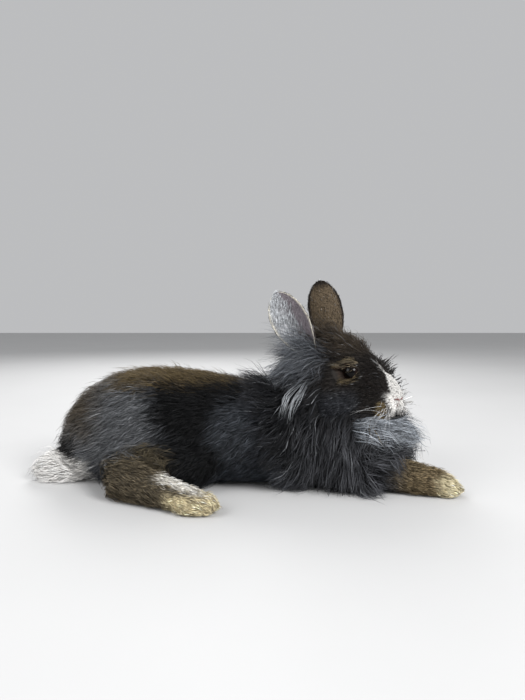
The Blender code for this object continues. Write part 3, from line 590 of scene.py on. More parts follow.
def markings(plan):
    """The colour of the coat's roots and of its tips at each place, laid on patch over patch."""
    ahead, right, z = head_frame(plan)
    x, y = plan[:, 0], plan[:, 1]
    wide = np.abs(right)
    head = share_head(plan)
    under = np.tile(linear("1d1e21"), (len(plan), 1))
    over = np.tile(linear("3e4147"), (len(plan), 1))

    def patch(weight, root, tip):
        under[:] += (linear(root) - under) * np.clip(weight, 0, 1)[:, None]
        over[:] += (linear(tip) - over) * np.clip(weight, 0, 1)[:, None]

    def spot(cx, cz, rx, rz, soft=0.5):
        """One inside an oval of the side view, falling off over its rim."""
        return ramp(-np.hypot((x - cx) / rx, (z - cz) / rz), -1 - soft / 2, -1 + soft / 2)

    # The trunk: haunch, rump, flank, panel, back, withers, belly, groin and knee.
    body = 1 - head
    # Painted highlight, partly: the pale tips over the haunch are smoky fur, and they also stand for the
    # light on the dome of the thigh.
    patch(body * spot(-116, 54, 42, 33), "34363a", "797b7e")
    patch(body * ramp(-x, 112, 138) * ramp(z, 32, 60), "231f1b", "5f564a")
    patch(body * spot(-44, 68, 38, 25), "050506", "0d0e10")
    patch(body * spot(-18, 48, 18, 20), "181a1d", "4b4f55")
    # Painted light, partly: the brown tips on the back and withers are brown ticked fur, and they also stand
    # for warm light bounced onto the top of the coat.
    patch(body * ramp(z, 76, 85) * ramp(-x, -40, 0) * ramp(x, -138, -105), "1b1610", "6c5d41")
    patch(body * ramp(z, 70, 80) * ramp(x, -15, 15), "14110e", "43392c")
    patch(body * ramp(-z, -38, -14) * ramp(x, -60, -10), "181b1f", "454a51")
    patch(body * spot(-52, 30, 26, 20), "08090a", "1a1b1d")
    patch(body * spot(-82, 28, 16, 12), "1e1b16", "625947")

    # The mane: its wool, the dark behind the cheek and under the ear, the smoky nape and the pale throat.
    mane = share_long(plan)
    face = head * (1 - mane)
    patch(mane, "1a1b1e", "4b4c50")
    patch(mane * ramp(-z, -95, -85) * ramp(-ahead, 16, 26) * ramp(z, 25, 45), "070708", "17181b")
    patch(mane * spot(50, 72, 13, 19), "060607", "131417")
    patch(mane * ramp(z, 86, 98) * ramp(-ahead, 12, 30), "2c2e33", "80858c")
    patch(mane * ramp(z, 44, 50) * ramp(x, 90, 102), "34373c", "868b91")

    # The face: its ground, crown, cheek, bridge, jaw, blaze, white muzzle and the tan spot beside it.
    patch(face, "14110f", "302c29")
    patch(face * ramp(z, 102, 114), "1a1613", "51473b")
    patch(face * ramp(-z, -84, -72) * ramp(-ahead, -18, -4), "191a1d", "3d3f44")
    patch(face * ramp(ahead, 8, 16) * ramp(z, 72, 84), "0f0c0b", "231e1b")
    patch(face * ramp(-z, -58, -50) * ramp(ahead, 2, 14), "292b2f", "62666b")
    leans = np.abs(right - 2.2 * ramp(-ahead, -38, -24))
    blaze = 0.4 + 8.0 * ramp(ahead, 24, 37)
    patch(head * ramp(ahead, 14, 22) * ramp(blaze - leans, -0.7, 0.7) * ramp(z, 60, 66), "9d9b99", "f4f2ee")
    muzzle = ramp(ahead, 27, 32) * ramp(10.5 - wide, -1.5, 1.5) * ramp(-z, -80, -75) * ramp(z, 55, 59)
    patch(head * muzzle, "d2cfcb", "fbf9f5")
    patch(head * spot(96, 64, 3.5, 7) * ramp(wide, 6, 8), "4c3f2d", "94835f")
    # The rims of the eyes: tan, paler above, and dark at the lids.
    for side in (1, -1):
        over_lid, reach = eye_angle(plan, side)
        rim = head * ramp(-reach, -13, -10)
        above = ramp((plan - eye_middle(side)) @ eye_axes(side)[2], 2, 6)
        patch(rim * ramp(-over_lid, -0.45, -0.32), "2e271e", "75684f")
        patch(rim * ramp(-reach, -11, -9) * ramp(-over_lid, -0.52, -0.4) * above, "352e24", "857a67")
        patch(rim * ramp(-over_lid, -0.24, -0.16), "1c130e", "2b1d15")

    # The white under the rump, the white tail and the black over it.
    patch(body * ramp(-x, 128, 138) * ramp(-z, -31, -24) * ramp(-y, -64, -56), "b5b2ad", "efece8")
    patch(share_tail(plan), "e6e3df", "fefcf9")
    patch(ramp(-x, 138, 150) * spot(-160, 34, 24, 9, 0.6) * (1 - ramp(-z, -24, -18)), "0b0b0c", "1a1817")
    # The limbs: brown, with cream toes and a white stripe along the inside of each hind foot.
    for sign, side in SIDES:
        foot, along = share_limb(plan, foot_stations(side))
        (hx, hy), (tx, ty) = HIND_FEET[side]
        inner = sign * ((x - hx) * (ty - hy) - (y - hy) * (tx - hx)) / -math.hypot(tx - hx, ty - hy)
        patch(foot, "221d16", "6d6351")
        patch(foot * ramp(along, 0.5, 0.62) * ramp(-z, -15, -11), "9a8b68", "e3d6b2")
        patch(foot * ramp(z, 11, 16) * ramp(inner, -8, -3) * ramp(along, 0.4, 0.5), "bab5ab", "f6f2e9")
        leg, reach = share_limb(plan, FORELEGS[side], 2)
        patch(leg * ramp(reach, 0.0, 0.25), "2a2118", "87775a")
        patch(leg * ramp(reach, 0.42, 0.56) * ramp(-z, -20, -13), "a3966f", "ebe0c0")
    return under, over


def paint(mesh, colours):
    """Writes one colour to each point of a mesh, as its attribute coat_colour."""
    layer = mesh.color_attributes.new("coat_colour", "FLOAT_COLOR", "POINT")
    rows = np.column_stack([colours, np.ones(len(colours))])
    layer.data.foreach_set("color", rows.astype(np.float32).ravel())


skin_plan = to_plan(read_points(skin.data))
skin_under, skin_over = markings(skin_plan)
skin_mouth, skin_nostril = face_lines(skin_plan)
skin_colour = skin_under * 0.55 + skin_over * 0.45
pink = np.exp(-((skin_nostril / 1.9) ** 2))[:, None]
skin_colour = skin_colour * (1 - pink) + linear("b5595a") * pink
# Painted shade: a dull red-brown darkening along the mouth and the lip's cleft stands for the shade in the
# crease.
painted_mouth_shade = 0.6 * np.exp(-((skin_mouth / 0.8) ** 2))[:, None]
skin_colour = skin_colour * (1 - painted_mouth_shade) + linear("5a3230") * painted_mouth_shade
paint(skin.data, skin_colour)

# Hide: soft, matt skin grown over with close underfur. The fine felt of the underfur gives the eye
# a broken, ticked surface between the tufts, so noise is stretched into streaks 0.6 mm wide.
hide, tree = new_material("furred hide")
place = add_node(tree, "ShaderNodeTexCoord")
stretch = add_node(tree, "ShaderNodeMapping", [(place.outputs["Object"], "Vector")], Scale=(420, 1500, 900))
felt = add_node(tree, "ShaderNodeTexNoise", [(stretch.outputs[0], "Vector")], Scale=1.0, Detail=3.0)
shade = add_node(
    tree,
    "ShaderNodeMapRange",
    [(felt.outputs[0], "Value")],
    From_Min=0.3,
    From_Max=0.7,
    To_Min=0.45,
    To_Max=1.25,
)
coat = add_node(tree, "ShaderNodeAttribute", attribute_name="coat_colour")
ticked = add_node(
    tree,
    "ShaderNodeVectorMath",
    [(coat.outputs["Color"], 0), (shade.outputs[0], 1)],
    operation="MULTIPLY",
)
bump = add_node(tree, "ShaderNodeBump", [(felt.outputs[0], "Height")], Strength=0.5, Distance=0.0006)
surface = add_node(
    tree,
    "ShaderNodeBsdfPrincipled",
    [(ticked.outputs[0], "Base Color"), (bump.outputs[0], "Normal")],
    Roughness=0.85,
    Specular_IOR_Level=0.2,
)
add_node(tree, "ShaderNodeOutputMaterial", [(surface.outputs[0], "Surface")])
dressed(skin, hide)
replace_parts(skin, "head", "neck", "torso", "tail")
for _, side in SIDES:
    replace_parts(skin, f"foreleg_{side}", f"hindleg_{side}", f"hindfoot_{side}")

# Coat
# Solid tapered tufts, each a few hairs that lie together, rooted in the skin and overlapping like thatch.
# They are short on the face and feet, and long, wavy and gathered into locks on the mane and chest.


def cross_unit(a, b):
    return unit(np.cross(a, b))


def nearest(target, points):
    """The nearest place on a piece to each point, and the way out of its surface there."""
    mesh = bpy.data.meshes.new("cloud")
    mesh.vertices.add(len(points))
    mesh.vertices.foreach_set("co", np.asarray(points, np.float32).ravel())
    cloud = bpy.data.objects.new("cloud", mesh)
    bpy.context.scene.collection.objects.link(cloud)
    cling = cloud.modifiers.new("Cling", "SHRINKWRAP")
    cling.target = target
    cling.wrap_method = "NEAREST_SURFACEPOINT"
    found = []
    for mode, offset in (("ON_SURFACE", 0.0), ("ABOVE_SURFACE", 0.001)):
        cling.wrap_mode = mode
        cling.offset = offset
        bpy.context.view_layer.update()
        graph = bpy.context.evaluated_depsgraph_get()
        found.append(read_points(cloud.evaluated_get(graph).data))
    bpy.data.objects.remove(cloud)
    bpy.data.meshes.remove(mesh)
    return found[0], unit(found[1] - found[0])


def scattered(piece, count, dice):
    """Points spread by chance over a piece, evenly by area, with their normals and places on its unwrap."""
    mesh = piece.data
    mesh.calc_loop_triangles()
    corners = np.empty(len(mesh.loop_triangles) * 3, np.int32)
    mesh.loop_triangles.foreach_get("vertices", corners)
    loops = np.empty(len(mesh.loop_triangles) * 3, np.int32)
    mesh.loop_triangles.foreach_get("loops", loops)
    unwrap = np.empty(len(mesh.loops) * 2, np.float32)
    mesh.uv_layers["OFBake"].data.foreach_get("uv", unwrap)
    corners, loops, unwrap = corners.reshape(-1, 3), loops.reshape(-1, 3), unwrap.reshape(-1, 2)
    points, normals = read_points(mesh), read_normals(mesh)
    a, b, c = points[corners[:, 0]], points[corners[:, 1]], points[corners[:, 2]]
    area = np.linalg.norm(np.cross(b - a, c - a), axis=1)
    picked = dice.choice(len(area), count, p=area / area.sum())
    share = dice.dirichlet((1, 1, 1), count)
    spots = np.einsum("ij,ijk->ik", share, points[corners[picked]])
    ups = unit(np.einsum("ij,ijk->ik", share, normals[corners[picked]]))
    return spots, ups, np.einsum("ij,ijk->ik", share, unwrap[loops[picked]])


def nearest_of(points, centres):
    """For each point the number of its nearest centre, from the squares of the distances."""
    found = np.empty(len(points), int)
    for start in range(0, len(points), 4000):
        some = points[start : start + 4000]
        gaps = (centres**2).sum(axis=1)[None] - 2 * some @ centres.T
        found[start : start + 4000] = gaps.argmin(axis=1)
    return found


# Fur: keratin hairs, hollow and matt with a faint sheen, drawn together in tufts. The noise is stretched
# along each tuft into about six streaks across it, so that it looks like single hairs.
fur, tree = new_material("soft fur")
where = add_node(tree, "ShaderNodeUVMap", uv_map="strand")
stretch = add_node(tree, "ShaderNodeMapping", [(where.outputs[0], "Vector")], Scale=(6.0, 0.8, 1.0))
hairs = add_node(tree, "ShaderNodeTexNoise", [(stretch.outputs[0], "Vector")], Scale=1.0, Detail=2.0)
streak = add_node(
    tree,
    "ShaderNodeMapRange",
    [(hairs.outputs[0], "Value")],
    From_Min=0.3,
    From_Max=0.7,
    To_Min=0.6,
    To_Max=1.25,
)
coat = add_node(tree, "ShaderNodeAttribute", attribute_name="coat_colour")
hairy = add_node(
    tree,
    "ShaderNodeVectorMath",
    [(coat.outputs["Color"], 0), (streak.outputs[0], 1)],
    operation="MULTIPLY",
)
bump = add_node(tree, "ShaderNodeBump", [(hairs.outputs[0], "Height")], Strength=0.4, Distance=0.0003)
surface = add_node(
    tree,
    "ShaderNodeBsdfPrincipled",
    [(hairy.outputs[0], "Base Color"), (bump.outputs[0], "Normal")],
    Roughness=0.6,
    Specular_IOR_Level=0.12,
    Sheen_Weight=0.03,
    Sheen_Roughness=0.5,
)
add_node(tree, "ShaderNodeOutputMaterial", [(surface.outputs[0], "Surface")])

# How each kind of fur grows: rings in a tuft, its width, hold to the skin, pull to its clump, tufts in a
# clump, swirl, wave, spread of shade, share of silver hairs and share of longer guard hairs.
HABITS = {
    "muzzle": (2, 0.90, 0.90, 0.20, 16, 0.15, 0.0, 0.08, 0.0, 0.0),
    "face": (2, 0.50, 0.90, 0.40, 16, 0.25, 0.0, 0.25, 0.015, 0.12),
    "foot": (2, 0.60, 0.90, 0.35, 14, 0.25, 0.0, 0.38, 0.0, 0.12),
    "body": (2, 0.70, 0.85, 0.50, 26, 0.35, 0.5, 0.26, 0.0, 0.10),
    "mane": (3, 0.75, 0.60, 0.65, 34, 0.30, 1.6, 0.24, 0.025, 0.12),
    "tail": (2, 0.90, 0.70, 0.35, 30, 0.20, 0.4, 0.06, 0.0, 0.10),
    "crown": (2, 0.50, 0.60, 0.60, 34, 0.35, 1.5, 0.20, 0.04, 0.20),
    "nape": (3, 0.55, 0.45, 0.60, 40, 0.40, 2.0, 0.20, 0.12, 0.30),
    "ear lock": (5, 0.60, 0.60, 0.45, 60, 0.07, 1.0, 0.20, 0.50, 0.0),
    "ruff": (3, 0.65, 0.50, 0.60, 40, 0.35, 2.5, 0.30, 0.25, 0.25),
    "ear": (2, 0.40, 0.90, 0.30, 10, 0.20, 0.0, 0.25, 0.05, 0.0),
}


def tufts(name, target, roots, comb, habit, length, lift, colours, seed, slot, drop=1.0):
    """Tapered three-sided tufts along paths that are combed over a piece.

    A path steps from its root along the combed way, is drawn back towards the surface at each step, stands
    over it by its lift times a rise, and bends towards the path at its clump's middle as a power of its
    share. Each ring is a left edge, a ridge and a right edge, and the path ends in a point. The drop is
    how far a tuft may hang for each unit of its root's height.
    """
    dice = np.random.default_rng(seed)
    at, up, unwrap = roots
    count = len(at)
    rings, width, hold, clump, per_clump, curl, wave, uneven, silver, guards = HABITS[habit]
    length = length * dice.uniform(0.7, 1.25, count) * 0.001
    length = np.minimum(length, at[:, 2] * drop + 0.012)
    width = width * dice.uniform(0.75, 1.25, count) * 0.001
    lift = lift * np.minimum(0.4 + dice.exponential(0.5, count), 2.2) * 0.001
    guard = dice.random(count) < guards
    lift = np.where(guard, lift * 1.35, lift)
    width = np.where(guard, width * 0.6, width)
    swirl = dice.normal(0, curl, count)[:, None]
    phase = dice.uniform(0, 2 * math.pi, count)[:, None]
    spot, out = at, up
    spots, outs, ways = [at], [up], []
    for i in range(rings):
        way = comb(to_plan(spot), out)
        turn = swirl * (0.4 + i / rings)
        way = unit(way * np.cos(turn) + cross_unit(way, out) * np.sin(turn))
        ways.append(way)
        step = spot + way * (length / rings)[:, None]
        near, near_out = nearest(target, step)
        spot = step + (near - step) * hold
        out = unit(out + near_out)
        spots.append(spot)
        outs.append(out)
    ways.append(way)
    share = np.linspace(0, 1, rings + 1)
    rise = np.interp(share, [0, 0.3, 0.65, 1], [0, 0.5, 0.85, 1])
    paths = []
    for i in range(rings + 1):
        sway = wave * 0.001 * share[i] * np.sin(phase + share[i] * 7)
        paths.append(spots[i] + outs[i] * (lift * rise[i])[:, None] + cross_unit(ways[i], outs[i]) * sway)
    paths = np.array(paths)
    owner = nearest_of(at, at[: max(1, count // per_clump)])
    pull = clump * np.where(guard, 0.3, 1.0)[None, :, None] * share[:, None, None] ** 1.5
    paths = paths + (paths[:, owner] - paths) * pull
    paths[0] -= up * 0.0007
    paths[:, :, 2] = np.maximum(paths[:, :, 2], 0.0009 + 0.0008 * dice.random(count))

    breadth = np.interp(share, [0, 0.35, 0.75, 1], [0.7, 1.0, 0.7, 0.0])
    points = np.empty((count, 3 * rings + 1, 3))
    for i in range(rings):
        along = unit(paths[i + 1] - paths[i])
        side = cross_unit(along, outs[i])
        ridge = cross_unit(side, along) * (width * breadth[i] * 0.4)[:, None]
        side = side * (width * breadth[i] / 2)[:, None]
        for j, edge in enumerate((-side, ridge, side)):
            points[:, 3 * i + j] = paths[i] + edge
    points[:, -1] = paths[-1]
    points[:, :, 2] = np.maximum(points[:, :, 2], 0.0004)

    faces = [(2, 1, 0)]
    for i in range(rings - 1):
        for j in range(3):
            k = (j + 1) % 3
            faces.append((3 * i + j, 3 * i + k, 3 * i + 3 + k))
            faces.append((3 * i + j, 3 * i + 3 + k, 3 * i + 3 + j))
    faces += [(3 * rings - 3 + j, 3 * rings - 3 + (j + 1) % 3, 3 * rings) for j in range(3)]
    first_corners = np.arange(count) * (3 * rings + 1)
    faces = (np.array(faces)[None] + first_corners[:, None, None]).reshape(-1, 3)

    mesh = bpy.data.meshes.new(name)
    mesh.vertices.add(count * (3 * rings + 1))
    mesh.vertices.foreach_set("co", points.astype(np.float32).ravel())
    mesh.loops.add(faces.size)
    mesh.loops.foreach_set("vertex_index", faces.astype(np.int32).ravel())
    mesh.polygons.add(len(faces))
    mesh.polygons.foreach_set("loop_start", np.arange(0, faces.size, 3, dtype=np.int32))
    mesh.update(calc_edges=True)

    # Each tuft takes a 3 mm patch at its root's place on the skin's unwrap, and its own strip of streaks.
    across = np.append(np.tile([0.0, 0.5, 1.0], rings), 0.5)
    along = np.append(np.repeat(share[:-1], 3), 1.0)
    patches = unwrap[:, None] + np.stack([across - 0.5, along - 0.5], axis=-1) * 0.003
    strip = across + dice.integers(0, 400, count)[:, None]
    strands = np.stack([strip, np.broadcast_to(along, strip.shape)], axis=-1)
    for layer, places in (("OFBake", patches), ("strand", strands)):
        flat = places.reshape(-1, 2)[faces.ravel()].astype(np.float32).ravel()
        mesh.uv_layers.new(name=layer).data.foreach_set("uv", flat)

    under, over = colours
    tone = np.exp(dice.normal(0, uneven, count))[:, None]
    pale = (dice.random(count) < silver)[:, None]
    over = np.where(pale, over * 0.45 + linear("a9acb0") * 0.55, over) * tone
    under = under * tone
    blend = np.interp(along, [0, 0.3, 0.75, 1], [0, 0.25, 1, 1])[None, :, None]
    shades = under[:, None] + (over - under)[:, None] * blend
    paint(mesh, np.clip(shades, 0, 1).reshape(-1, 3))
    made = bpy.data.objects.new(name, mesh)
    bpy.context.scene.collection.objects.link(made)
    return dressed(made, fur)


MANE_CENTRE = np.array([68.0, 47.0, 90.0])
RUFF_WAY = np.array([0.9, 0.1, -0.45])
TAIL_WAY = np.array([-1.0, -0.1, -0.1])


def combed(plan, out):
    """The way the coat lies: back along the body and down its sides, back from the nose, out from inside
    the mane and down, and along each limb and the tail to its end, laid flat to the skin."""
    head, long = share_head(plan), share_long(plan)
    sides = ramp(np.abs(out[:, 2]), 0.95, 0.4)[:, None]
    way = np.array([-1.0, 0, 0]) - UPWARD * (0.15 + 0.4 * sides)
    face = -HEAD_FORWARD - UPWARD * 0.35 + HEAD_RIGHT * 0.1 * np.sign(head_frame(plan)[1])[:, None]
    way = way + (face - way) * head[:, None]
    mane = unit(plan - MANE_CENTRE) - UPWARD * 0.75 - HEAD_FORWARD * 0.55 * head[:, None]
    ruff = ramp(plan[:, 2], 42, 50) * ramp(plan[:, 0], 88, 102)
    mane = mane + (RUFF_WAY - mane) * ruff[:, None]
    way = way + (mane - way) * long[:, None]
    way = way + (TAIL_WAY - way) * share_tail(plan)[:, None]
    for _, side in SIDES:
        for stations, first in ((foot_stations(side), 0), (FORELEGS[side], 2)):
            near, _ = share_limb(plan, stations, first)
            line = np.array(stations, float)[[first, -1], :2]
            leg = np.append(unit(line[1] - line[0]), -0.15)
            way = way + (leg - way) * near[:, None]
    return unit(way - out * np.einsum("ij,ij->i", way, out)[:, None])


# Places where hairs may grow, in a chance order, and which kind of fur each of them belongs to.
ROOTS = 330000
NECK_MIDDLE = 47
dice = np.random.default_rng(4)
pool = scattered(skin, ROOTS, dice)
pool_plan = to_plan(pool[0])
pool_x, pool_y, high = pool_plan.T
head, long = share_head(pool_plan), share_long(pool_plan)
ahead, right, _ = head_frame(pool_plan)
mouth, nostril = face_lines(pool_plan)
bare = (nostril < 1.7) | (mouth < 0.6) | (high < 1.2)
for side, _ in SIDES:
    over_lid, reach = eye_angle(pool_plan, side)
    bare |= (over_lid < 0.13) & (reach < 14)
feet = share_feet(pool_plan) > 0.5
is_long = ~bare & (dice.random(ROOTS) < long) & ~feet
is_face = ~bare & ~is_long & (head > 0.5)
is_foot = ~bare & ~is_long & ~is_face & feet
is_tail = ~bare & (share_tail(pool_plan) > 0.5)
is_body = ~bare & ~is_long & ~is_face & ~is_foot & ~is_tail
is_white = is_face & (ahead > 24) & (np.abs(right) < 9) & (high > 57)
is_crown = ~bare & (head > 0.3) & (ahead < 6) & (high > 104) & (np.abs(right) < 30)
is_nape = ~bare & (ahead < -18) & (ahead > -50) & (right > 4) & (right < 34) & (high > 86) & (high < 112)
right_flank = pool_y < trunk_middle(pool_x) - 2
right_neck = pool_y < NECK_MIDDLE
rear = pool_x < -58
front = pool_x > 70


def chosen(values, found):
    """A size for each chosen root, where it changes from place to place."""
    return values[found] if isinstance(values, np.ndarray) else values


def grow(name, mask, count, habit, length, lift, seed, slot="slate_wool", blur=2.2):
    """The coat over a mask's first so many roots, whose markings are blurred by a chance step in mm."""
    found = np.flatnonzero(mask)[:count]
    roots = tuple(part[found] for part in pool)
    colours = markings(pool_plan[found] + np.random.default_rng(seed).normal(0, blur, (len(found), 3)))
    sizes = chosen(length, found), chosen(lift, found)
    tufts(name, skin, roots, combed, habit, *sizes, colours, seed, slot)


far_side = ramp(-right, 3, 9) * ramp(ahead, 7, 16) * ramp(42 - ahead, 0, 6)
face_length = 3.0 + ramp(-ahead, -33, -22) * (3.3 + 4.5 * ramp(-ahead, -15, 8)) + 6.0 * far_side
face_lift = (0.26 + 0.7 * far_side) * face_length
foot_length = 6.5 + 5.0 * ramp(-pool_x, 70, 105)
mane_length = 30.0 - 10.0 * ramp(high, 80, 105)
mane_lift = 11.0 - 6.0 * ramp(high, 70, 100)
crown_length = 11.0 + 19.0 * ramp(-ahead, 8, 26)
crown_lift = (0.45 + 0.3 * ramp(-ahead, 12, 24)) * crown_length
grow("muzzle_fur", is_white, 3000, "muzzle", 2.6, 0.5, 20, "white_fur", 0.1)
grow("face_fur", is_face & ~is_white, 18500, "face", face_length, face_lift, 21, "charcoal_fur", 0.4)
grow("foot_fur", is_foot, 10800, "foot", foot_length, 0.25 * foot_length, 22, "agouti_fur", 1.4)
grow("haunch_coat_right", is_body & right_flank & rear, 18500, "body", 17.0, 5.0, 23)
grow("haunch_coat_left", is_body & ~right_flank & rear, 8000, "body", 15.0, 4.0, 24)
grow("flank_coat_right", is_body & right_flank & ~rear, 17000, "body", 15.0, 4.0, 25)
grow("flank_coat_left", is_body & ~right_flank & ~rear, 6200, "body", 15.0, 4.0, 26)
grow("mane_right", is_long & right_neck & ~front, 12000, "mane", mane_length, mane_lift, 27)
grow("mane_left", is_long & ~right_neck & ~front, 5500, "mane", mane_length, mane_lift, 28)
grow("chest_wool", is_long & front, 10800, "mane", mane_length, mane_lift, 29)
grow("tail_wool", is_tail, 8000, "tail", 18.0, 6.5, 30, "white_fur")
grow("crown_tufts", is_crown, 3400, "crown", crown_length, crown_lift, 31, "charcoal_fur")
grow("nape_wisps", is_nape, 1500, "nape", 33.0, 11.0, 32)

# Ear locks and throat ruff
# The long silver hairs that hang from below each ear over the dark side of the neck, and the pale ends of
# the mane that sweep forward from under the chin. Both are rooted in the skin and lie over the mane.


def swept(course, rise):
    """A comb along one course, less its part into the skin, with a little rise out of it."""

    def comb(plan, out):
        way = np.tile(course, (len(plan), 1))
        return unit(way - out * (np.einsum("ij,ij->i", way, out) - rise)[:, None])

    return comb


def hang(name, mask, count, comb, habit, length, lift, shades, seed):
    """Long tufts of one pair of shades, from their roots to their tips, over a mask's first roots."""
    found = np.flatnonzero(mask)[:count]
    roots = tuple(part[found] for part in pool)
    colours = [np.tile(linear(code), (len(found), 1)) for code in shades]
    tufts(name, skin, roots, comb, habit, length, lift, colours, seed, "slate_wool")


under_ear = ~bare & (pool_x > 30) & (pool_x < 43) & (high > 84) & (high < 100)
for side, name in SIDES:
    bunch = under_ear & ((NECK_MIDDLE - pool_y) * side > 16)
    down = swept([-0.42, 0.0, -1.0], 0.1)
    hang(f"ear_lock_{name}", bunch, 560, down, "ear lock", 46.0, 13.0, ("34373b", "a5a9ad"), 70 + side)
throat = ~bare & (ahead > 2) & (high > 42) & (high < 57) & (pool_x < 112) & (pool_y < 60)
forward = swept([1.0, -0.1, -0.3], 0.25)
hang("throat_ruff", throat, 1700, forward, "ruff", 29.0, 9.0, ("3b3e44", "a5abb2"), 80)

# Eyes
# Wet dark eyeballs seated in the head, with a slightly swollen clear front.
# The iris is so dark a brown that it hardly parts from the pupil.


def eye_grid(side):
    """A ball of rings round its axis whose front swells by the cornea: radius plus a bell of the angle."""
    out, along, up = eye_axes(side)
    rise = np.linspace(0.01, math.pi - 0.01, 40)[:, None]
    radius = EYE_RADIUS - 0.25 + 0.45 * np.exp(-((rise / 0.75) ** 2))
    ways = np.cos(rise)[..., None] * out + np.sin(rise)[..., None] * round_ring(along, up, 56)
    return eye_middle(side) + ways * radius[..., None], np.broadcast_to(rise, ways.shape[:2])


# Eye: a smooth clear cornea under tears over a dark iris, so it is glossy and nearly black.
wet_eye, tree = new_material("wet eye")
coat = add_node(tree, "ShaderNodeAttribute", attribute_name="coat_colour")
surface = add_node(
    tree,
    "ShaderNodeBsdfPrincipled",
    [(coat.outputs["Color"], "Base Color")],
    Roughness=0.1,
    IOR=1.376,
    Specular_IOR_Level=0.12,
    Coat_Weight=0.12,
    Coat_Roughness=0.02,
)
add_node(tree, "ShaderNodeOutputMaterial", [(surface.outputs[0], "Surface")])

for side, name in SIDES:
    grid, rise = eye_grid(side)
    eye = joined(f"eyeball_{name}", [facing_out(grid)])
    ring = rise.reshape(-1)[:, None]
    shade = linear("050404") + (linear("150d0a") - linear("050404")) * ramp(ring, 0.55, 0.75)
    paint(eye.data, shade + (linear("120c0a") - shade) * ramp(ring, 1.0, 1.15))
    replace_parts(dressed(eye, wet_eye), f"eye_{name}")

# Eyelids
# A soft rolled rim round each eye, dark at its edge and tan outside, grown from the skin.


def lid_grid(side):
    """A roll round the lids' gap: the angle from the axis and the height over the ball trace an oval."""
    out, along, up = eye_axes(side)
    turn, roll = turns(64)[:, None], turns(12)
    angle = lid_gap(turn) + 0.17 - 0.17 * np.cos(roll)
    radius = EYE_RADIUS + 0.1 + 0.6 * np.sin(roll)
    ring = round_ring(along, up, 64)[:, None]
    ways = np.cos(angle)[..., None] * out + np.sin(angle)[..., None] * ring
    return eye_middle(side) + ways * radius[:, None], np.broadcast_to(roll, angle.shape)


for side, name in SIDES:
    grid, roll = lid_grid(side)
    rows, columns = grid.shape[:2]
    quads = grid_faces(rows + 1, columns, ring=True) % (rows * columns)
    a, b, c, _ = grid.reshape(-1, 3)[quads].transpose(1, 0, 2)
    outward = a - grid.mean(axis=1)[quads[:, 0] // columns]
    faced = np.einsum("ij,ij->i", np.cross(b - a, c - a), outward).sum()
    lids = piece_from(f"eyelids_{name}", to_metres(grid), quads if faced > 0 else quads[:, ::-1])
    edge = ramp(np.cos(roll.reshape(-1)), -0.8, 0.2)[:, None]
    paint(lids.data, linear("33271d") + (linear("0f0a08") - linear("33271d")) * edge)
    dressed(lids, hide)

# Ears
# Upright cupped shells of skin over gristle: silver hairs and mauve skin inside, brown fur outside, darkened
# at its edges and tip by painted shade where the ear curves away. Each is fixed in the top of the head.
EAR_BASE = {"right": (-34, 17, 103), "left": (-34, -17, 103)}
EAR_TIP = {"right": (10.5, 45, 158), "left": (51, 75, 170)}
EAR_OPENS = {"right": (-0.25, -0.95, 0.0), "left": (0.15, 0.98, 0.0)}
# Share of the ear's length, half width laid flat, radius of the cup.
EAR_OUTLINE = [
    (0.00, 8.2, 4.8),
    (0.12, 11.5, 6.8),
    (0.30, 16.0, 12.0),
    (0.50, 18.5, 18.0),
    (0.70, 17.5, 20.0),
    (0.85, 13.0, 20.0),
    (0.95, 7.5, 18.0),
    (1.00, 2.0, 17.0),
]
EAR_SHARES, EAR_HALVES, EAR_CUPS = np.array(EAR_OUTLINE).T


def ear_axes(side):
    """The middle of an ear's base, its whole length as one step, the way across it and the way it opens."""
    base = head_plan(*EAR_BASE[side])
    along, opens = np.array(EAR_TIP[side], float) - base, np.array(EAR_OPENS[side])
    opens = unit(opens - along * (opens @ along) / (along @ along))
    return base, along, np.cross(unit(along), opens), opens


def ear_grid(side):
    """A cupped blade as rings: each goes out along an arc inside the cup and back outside it.

    Along the axis the arc's half width and radius follow the outline, and the wall thins to its edges as
    a power of the sine of the turn.
    """
    base, along, across, opens = ear_axes(side)
    share = 1 - (1 - np.linspace(0, 1, 44)) ** 1.3
    half = np.interp(share, EAR_SHARES, EAR_HALVES)
    half = np.convolve(np.pad(half, 2, "edge"), [0.1, 0.25, 0.3, 0.25, 0.1], "valid")
    half[-1] = 0.6
    cup = np.interp(share, EAR_SHARES, EAR_CUPS)
    turn = turns(44)
    over, wall = -np.cos(turn), 0.85 * np.sign(np.sin(turn)) * np.abs(np.sin(turn)) ** 0.6
    swing = over[None] * (half / cup)[:, None]
    radius = cup[:, None] - wall[None] * (0.55 + 0.45 * (1 - share[:, None] ** 4))
    sideways, depth = radius * np.sin(swing), cup[:, None] - radius * np.cos(swing)
    grid = base + along * share[:, None, None] + across * sideways[..., None] + opens * depth[..., None]
    facts = share[:, None], over[None], (np.sin(turn) > 0)[None]
    return grid, *(np.broadcast_to(fact, swing.shape).ravel() for fact in facts)


def ear_colours(share, over, inside, leading):
    """Inside: silver at the leading edge, mauve skin, a cream rim. Outside: brown, with painted shade near
    black at the edges and tip.
    """
    silver = ramp(-over * leading, -0.35, 0.45)[:, None]
    inner = linear("7d767b") * (1 - silver) + linear("b0b1b4") * silver
    rim = ramp(np.abs(over), 0.86, 0.97)[:, None]
    inner = inner * (1 - rim) + linear("d9d3c4") * rim
    inner = inner + (linear("4f4438") - inner) * ramp(-share, -0.25, -0.05)[:, None]
    # Painted shade: the outside darkens to near black at its edges and tip, where the ear curves away from
    # the light.
    painted_edge_shade = np.maximum(ramp(np.abs(over), 0.7, 0.9), ramp(share, 0.85, 0.97))[:, None]
    outer = linear("5b4f3f") * (1 - painted_edge_shade) + linear("1d1713") * painted_edge_shade
    return np.where(inside[:, None], inner, outer)


